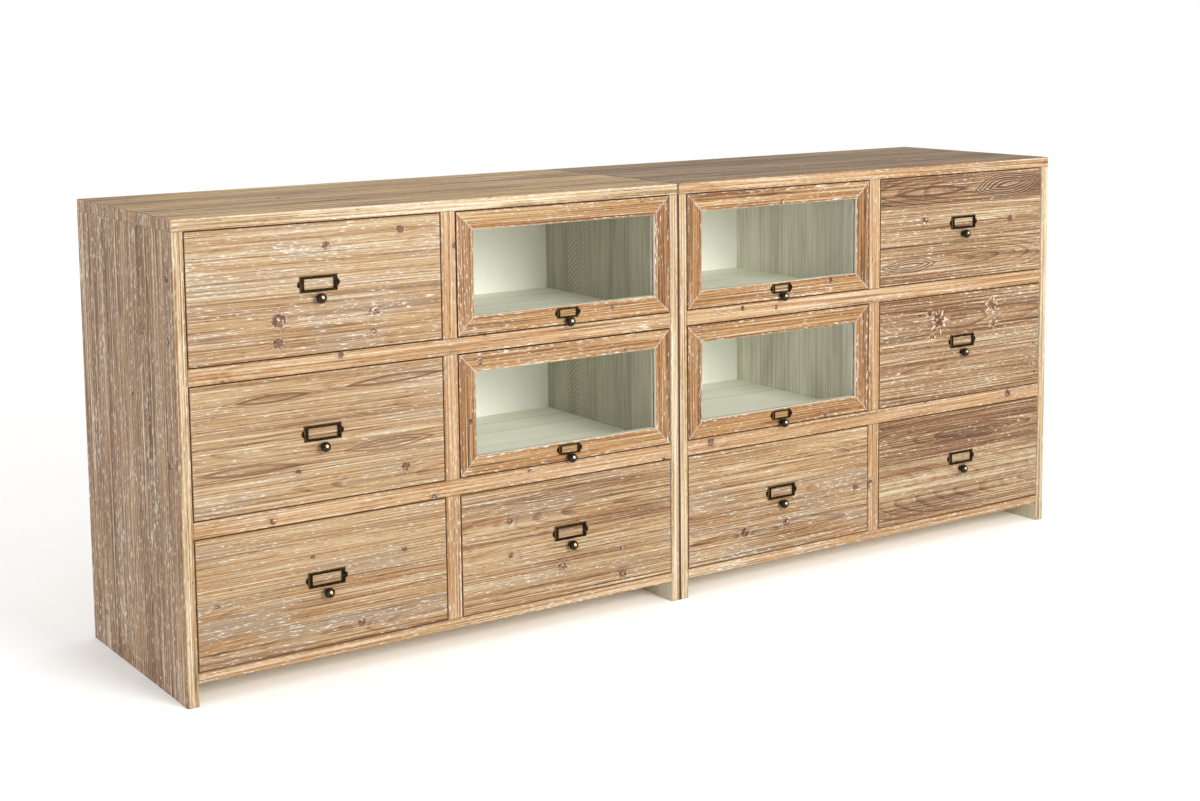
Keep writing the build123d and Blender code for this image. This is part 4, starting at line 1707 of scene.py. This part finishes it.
@dataclass
class FlapBank:
    """The four glazed flaps: mitred frames, panes, pins and dark pulls.

    Attributes:
        member_mm: width of a frame member.
        tones: tone of each flap's wood.
        seed: chance of the first flap.
        seed_step: how much the chance changes from flap to flap.
    """

    member_mm: float = 38.0
    tones: tuple[tuple[str, float], ...] = (
        ("left_upper", 0.5),
        ("left_middle", 0.5),
        ("right_upper", 0.46),
        ("right_middle", 0.4),
    )
    seed: float = 0.19
    seed_step: float = 0.23

    def dress(self, brass: Material, steel: Material) -> None:
        """Gives each flap's nodes their materials.

        Args:
            brass: what the pulls wear.
            steel: what the pivot pins wear.
        """
        glass = ClearGlass().make()
        lips = (FaceFinish(LIP_PAINT, EDGES),)
        for number, (name, tone) in enumerate(self.tones):
            wood = LimedPine(
                planks=(Plank(1.0, tone, 0.6, (1.6, 0.3)),),
                knot_share=0.8,
                lime=0.6,
                rim=0.13,
                grey=0.1,
                tilt=0.015,
                contrast=1.35,
                ring_mm=5.0,
                shades=ORANGE,
            )
            low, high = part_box(f"{name}_flap_frame")
            lay = MitredLay(low, high, self.member_mm, self.seed + self.seed_step * number)
            dress(f"{name}_flap_frame", WoodMaterial(f"limed_pine_{name}_flap", lay, wood, lips).make())
            dress(f"{name}_flap_glass", glass)
            dress(f"{name}_flap_pins", steel)
            dress(f"{name}_flap_pull", brass)


@dataclass(frozen=True)
class PinHead:
    """Domed head of a pin, with its flat side at the origin.

    Attributes:
        radius_mm: radius of the head.
        height_mm: height of the dome.
        segments: faces round the head.
        rings: faces from pole to pole of the ball that it is cut from.
        smooth_deg: largest angle between faces that are shaded as one.
    """

    radius_mm: float
    height_mm: float
    segments: int = 16
    rings: int = 10
    smooth_deg: float = 40.0

    def build(self) -> bpy.types.Object:
        """Models the head: half a ball, cut flat and pressed lower.

        Returns:
            The head at the origin, looking along -Y.
        """
        bpy.ops.object.select_all(action="DESELECT")
        bpy.ops.mesh.primitive_uv_sphere_add(
            segments=self.segments, ring_count=self.rings, radius=self.radius_mm * MM
        )
        head = bpy.context.object
        bpy.ops.object.mode_set(mode="EDIT")
        bpy.ops.mesh.select_all(action="SELECT")
        bpy.ops.mesh.bisect(plane_co=(0, 0, 0), plane_no=(0, 1, 0), use_fill=True, clear_outer=True)
        bpy.ops.mesh.select_all(action="SELECT")
        low = self.height_mm / self.radius_mm
        bpy.ops.transform.resize(value=(1.0, low, 1.0), center_override=(0, 0, 0))
        bpy.ops.mesh.normals_make_consistent(inside=False)
        bpy.ops.object.mode_set(mode="OBJECT")
        bpy.ops.object.shade_smooth_by_angle(angle=math.radians(self.smooth_deg))
        return head


def place_copy(first: bpy.types.Object, name: str, spot: Matrix, body: str) -> None:
    """Puts a copy of a piece, with its own mesh, where it belongs.

    Args:
        first: the piece that is copied.
        name: name of the copy.
        spot: where the copy goes.
        body: body that it rides on.
    """
    mesh = first.data.copy()
    mesh.transform(spot)
    copy = bpy.data.objects.new(name, mesh)
    bpy.context.scene.collection.objects.link(copy)
    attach(copy, body)
    LOG.info("%s placed", name)


@dataclass
class EarPins:
    """Round-headed brass pins through the ears of every label holder.

    Attributes:
        head: the pins' head.
        from_end_mm: place of a pin from the end of its ear.
        ear_thickness_mm: thickness of an ear.
        holder_height_mm: height of a drawer's and of a flap's label holder.
    """

    head: PinHead = PinHead(1.5, 0.9)
    from_end_mm: float = 2.6
    ear_thickness_mm: float = 1.6
    holder_height_mm: tuple[float, float] = (31.0, 21.0)

    def build(self, brass: Material) -> None:
        """Models one pin and copies it to each ear.

        Args:
            brass: what the pins wear.
        """
        first = self.head.build()
        first.data.materials.append(brass)
        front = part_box("left_upper_drawer_front")[0].y - self.ear_thickness_mm * MM
        inset = self.from_end_mm * MM
        for side in SIDES:
            for kind, names, height in zip(("drawer", "flap"), (DRAWERS, FLAPS), self.holder_height_mm):
                for name in names:
                    body = f"{side}_{name}_{kind}"
                    low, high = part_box(f"{body}_pull")
                    for end, x in (("a", low.x + inset), ("b", high.x - inset)):
                        spot = Matrix.Translation(Vector((x, front, high.z - height * MM / 2)))
                        place_copy(first, f"{body}_ear_pin_{end}", spot, body)
        bpy.data.objects.remove(first)


@dataclass
class PanelPins:
    """Steel pins that hold each back panel to the deck and the partition.

    Attributes:
        head: the pins' head.
        along_deck: pins along a deck.
        up_partition: pins up a partition.
        top_room: room above the highest pin, in steps from pin to pin.
    """

    head: PinHead = PinHead(3.0, 1.2)
    along_deck: int = 6
    up_partition: int = 4
    top_room: float = 0.5

    def build(self, steel: Material) -> None:
        """Models one pin and copies it along the deck and up the partition.

        Args:
            steel: what the pins wear.
        """
        first = self.head.build()
        first.data.materials.append(steel)
        for side in SIDES:
            low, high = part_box(f"{side}_back_panel")
            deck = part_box(f"{side}_deck")
            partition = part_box(f"{side}_partition")
            level = (deck[0].z + deck[1].z) / 2
            line = (partition[0].x + partition[1].x) / 2
            spots = []
            for i in range(self.along_deck):
                spots.append((low.x + (high.x - low.x) * (i + 0.5) / self.along_deck, level))
            for i in range(self.up_partition):
                spots.append((line, level + (high.z - level) * (i + 1) / (self.up_partition + self.top_room)))
            for number, (x, z) in enumerate(spots):
                spot = Matrix.Translation((x, high.y, z)) @ Matrix.Rotation(math.pi, 4, "Z")
                place_copy(first, f"{side}_back_pin_{number}", spot, "case")
        bpy.data.objects.remove(first)


@dataclass
class Studio:
    """Camera, pale floor and soft light.

    Attributes:
        focal_px: focal length in pixels of the photograph.
        image_px: width and height of the photograph.
        axis_px: where the optical axis meets the photograph.
        stand: place of the camera in metres.
        heading_deg: direction of the camera, from straight back towards the right.
        pitch_deg: how far it looks down.
        roll_deg: how far it is turned about its axis.
        sensor_mm: width of the sensor.
        floor_m: width of the floor.
        floor_shades: two colours of the floor's paper.
        floor_grain_mm: size of the paper's grain.
        sky: strength of the white world.
        lamp_at: place of the lamp in metres.
        lamp_aim: point that it shines at.
        lamp_m: width of the lamp.
        lamp_watts: power of the lamp.
    """

    focal_px: float = 1884.9
    image_px: tuple[float, float] = (1200.0, 801.0)
    axis_px: tuple[float, float] = (600.0, 240.0)
    stand: Triple = (-2.3404, -3.4165, 1.2452)
    heading_deg: float = 33.98
    pitch_deg: float = 6.7
    roll_deg: float = -0.61
    sensor_mm: float = 36.0
    floor_m: float = 60.0
    floor_shades: tuple[str, str] = ("#FAFAF9", "#FDFDFC")
    floor_grain_mm: float = 25.0
    sky: float = 1.04
    lamp_at: Triple = (0.4, -4.6, 2.0)
    lamp_aim: Triple = (0.1, 0.0, 0.45)
    lamp_m: float = 2.0
    lamp_watts: float = 215.0

    FLOOR_ROUGH = 0.9
    FLOOR_SPECULAR = 0.1

    def build(self) -> None:
        """Sets up the camera, the floor, the lamp and the world."""
        self._camera()
        self._floor()
        self._light()
        bpy.context.scene.view_settings.view_transform = "Standard"

    def _camera(self) -> None:
        """Stands the camera where the photograph was taken from."""
        data = bpy.data.cameras.new("photo_camera")
        data.sensor_width = self.sensor_mm
        data.lens = self.focal_px / self.image_px[0] * self.sensor_mm
        data.shift_x = (self.image_px[0] / 2 - self.axis_px[0]) / self.image_px[0]
        data.shift_y = (self.axis_px[1] - self.image_px[1] / 2) / self.image_px[0]
        heading, pitch, roll = (math.radians(a) for a in (self.heading_deg, self.pitch_deg, self.roll_deg))
        flat = math.cos(pitch)
        ahead = Vector((math.sin(heading) * flat, math.cos(heading) * flat, -math.sin(pitch)))
        level = Vector((math.cos(heading), -math.sin(heading), 0.0))
        upward = level.cross(ahead)
        right = level * math.cos(roll) + upward * math.sin(roll)
        upward = right.cross(ahead)
        camera = bpy.data.objects.new("photo_camera", data)
        camera.matrix_world = Matrix((right, upward, -ahead)).transposed().to_4x4()
        camera.location = self.stand
        bpy.context.scene.collection.objects.link(camera)
        bpy.context.scene.camera = camera

    def _floor(self) -> None:
        """Lays a pale matt paper floor."""
        bpy.ops.object.select_all(action="DESELECT")
        bpy.ops.mesh.primitive_plane_add(size=self.floor_m)
        floor = bpy.context.object
        floor.name = "studio_floor"
        material, tree, shader = new_material("studio_paper_floor")
        place = add(tree, "TexCoord", out="Object")
        grain = add(tree, "TexNoise", {"Vector": place, "Scale": 1 / (self.floor_grain_mm * MM)})
        white, paler = (linear(shade) for shade in self.floor_shades)
        feed = {
            "Base Color": add(tree, "Mix", {0: grain, 6: white, 7: paler}, **COLOURS),
            "Roughness": self.FLOOR_ROUGH,
            "Specular IOR Level": self.FLOOR_SPECULAR,
        }
        connect(tree, shader, feed)
        floor.data.materials.append(material)

    def _light(self) -> None:
        """Hangs one large soft lamp in an even white world."""
        world = bpy.data.worlds.new("studio_world")
        world.use_nodes = True
        sky = world.node_tree.nodes["Background"]
        connect(world.node_tree, sky, {"Color": linear("#FFFFFF"), "Strength": self.sky})
        bpy.context.scene.world = world
        data = bpy.data.lights.new("key_softbox", "AREA")
        data.size = self.lamp_m
        data.energy = self.lamp_watts
        lamp = bpy.data.objects.new("key_softbox", data)
        lamp.location = self.lamp_at
        toward = Vector(self.lamp_aim) - Vector(self.lamp_at)
        lamp.rotation_euler = toward.to_track_quat("-Z", "Y").to_euler()
        bpy.context.scene.collection.objects.link(lamp)


def main() -> None:
    """Builds and dresses the chest."""
    logging.basicConfig(level=logging.INFO, format="%(name)s: %(message)s")
    Studio().build()
    brass = AntiqueBrass().make()
    steel = ZincSteel().make()
    Carcass().dress(steel)
    FaceFrame().dress()
    DrawerBank().dress(brass)
    FlapBank().dress(brass, steel)
    EarPins().build(brass)
    PanelPins().build(steel)


if __name__ == "__main__":
    main()
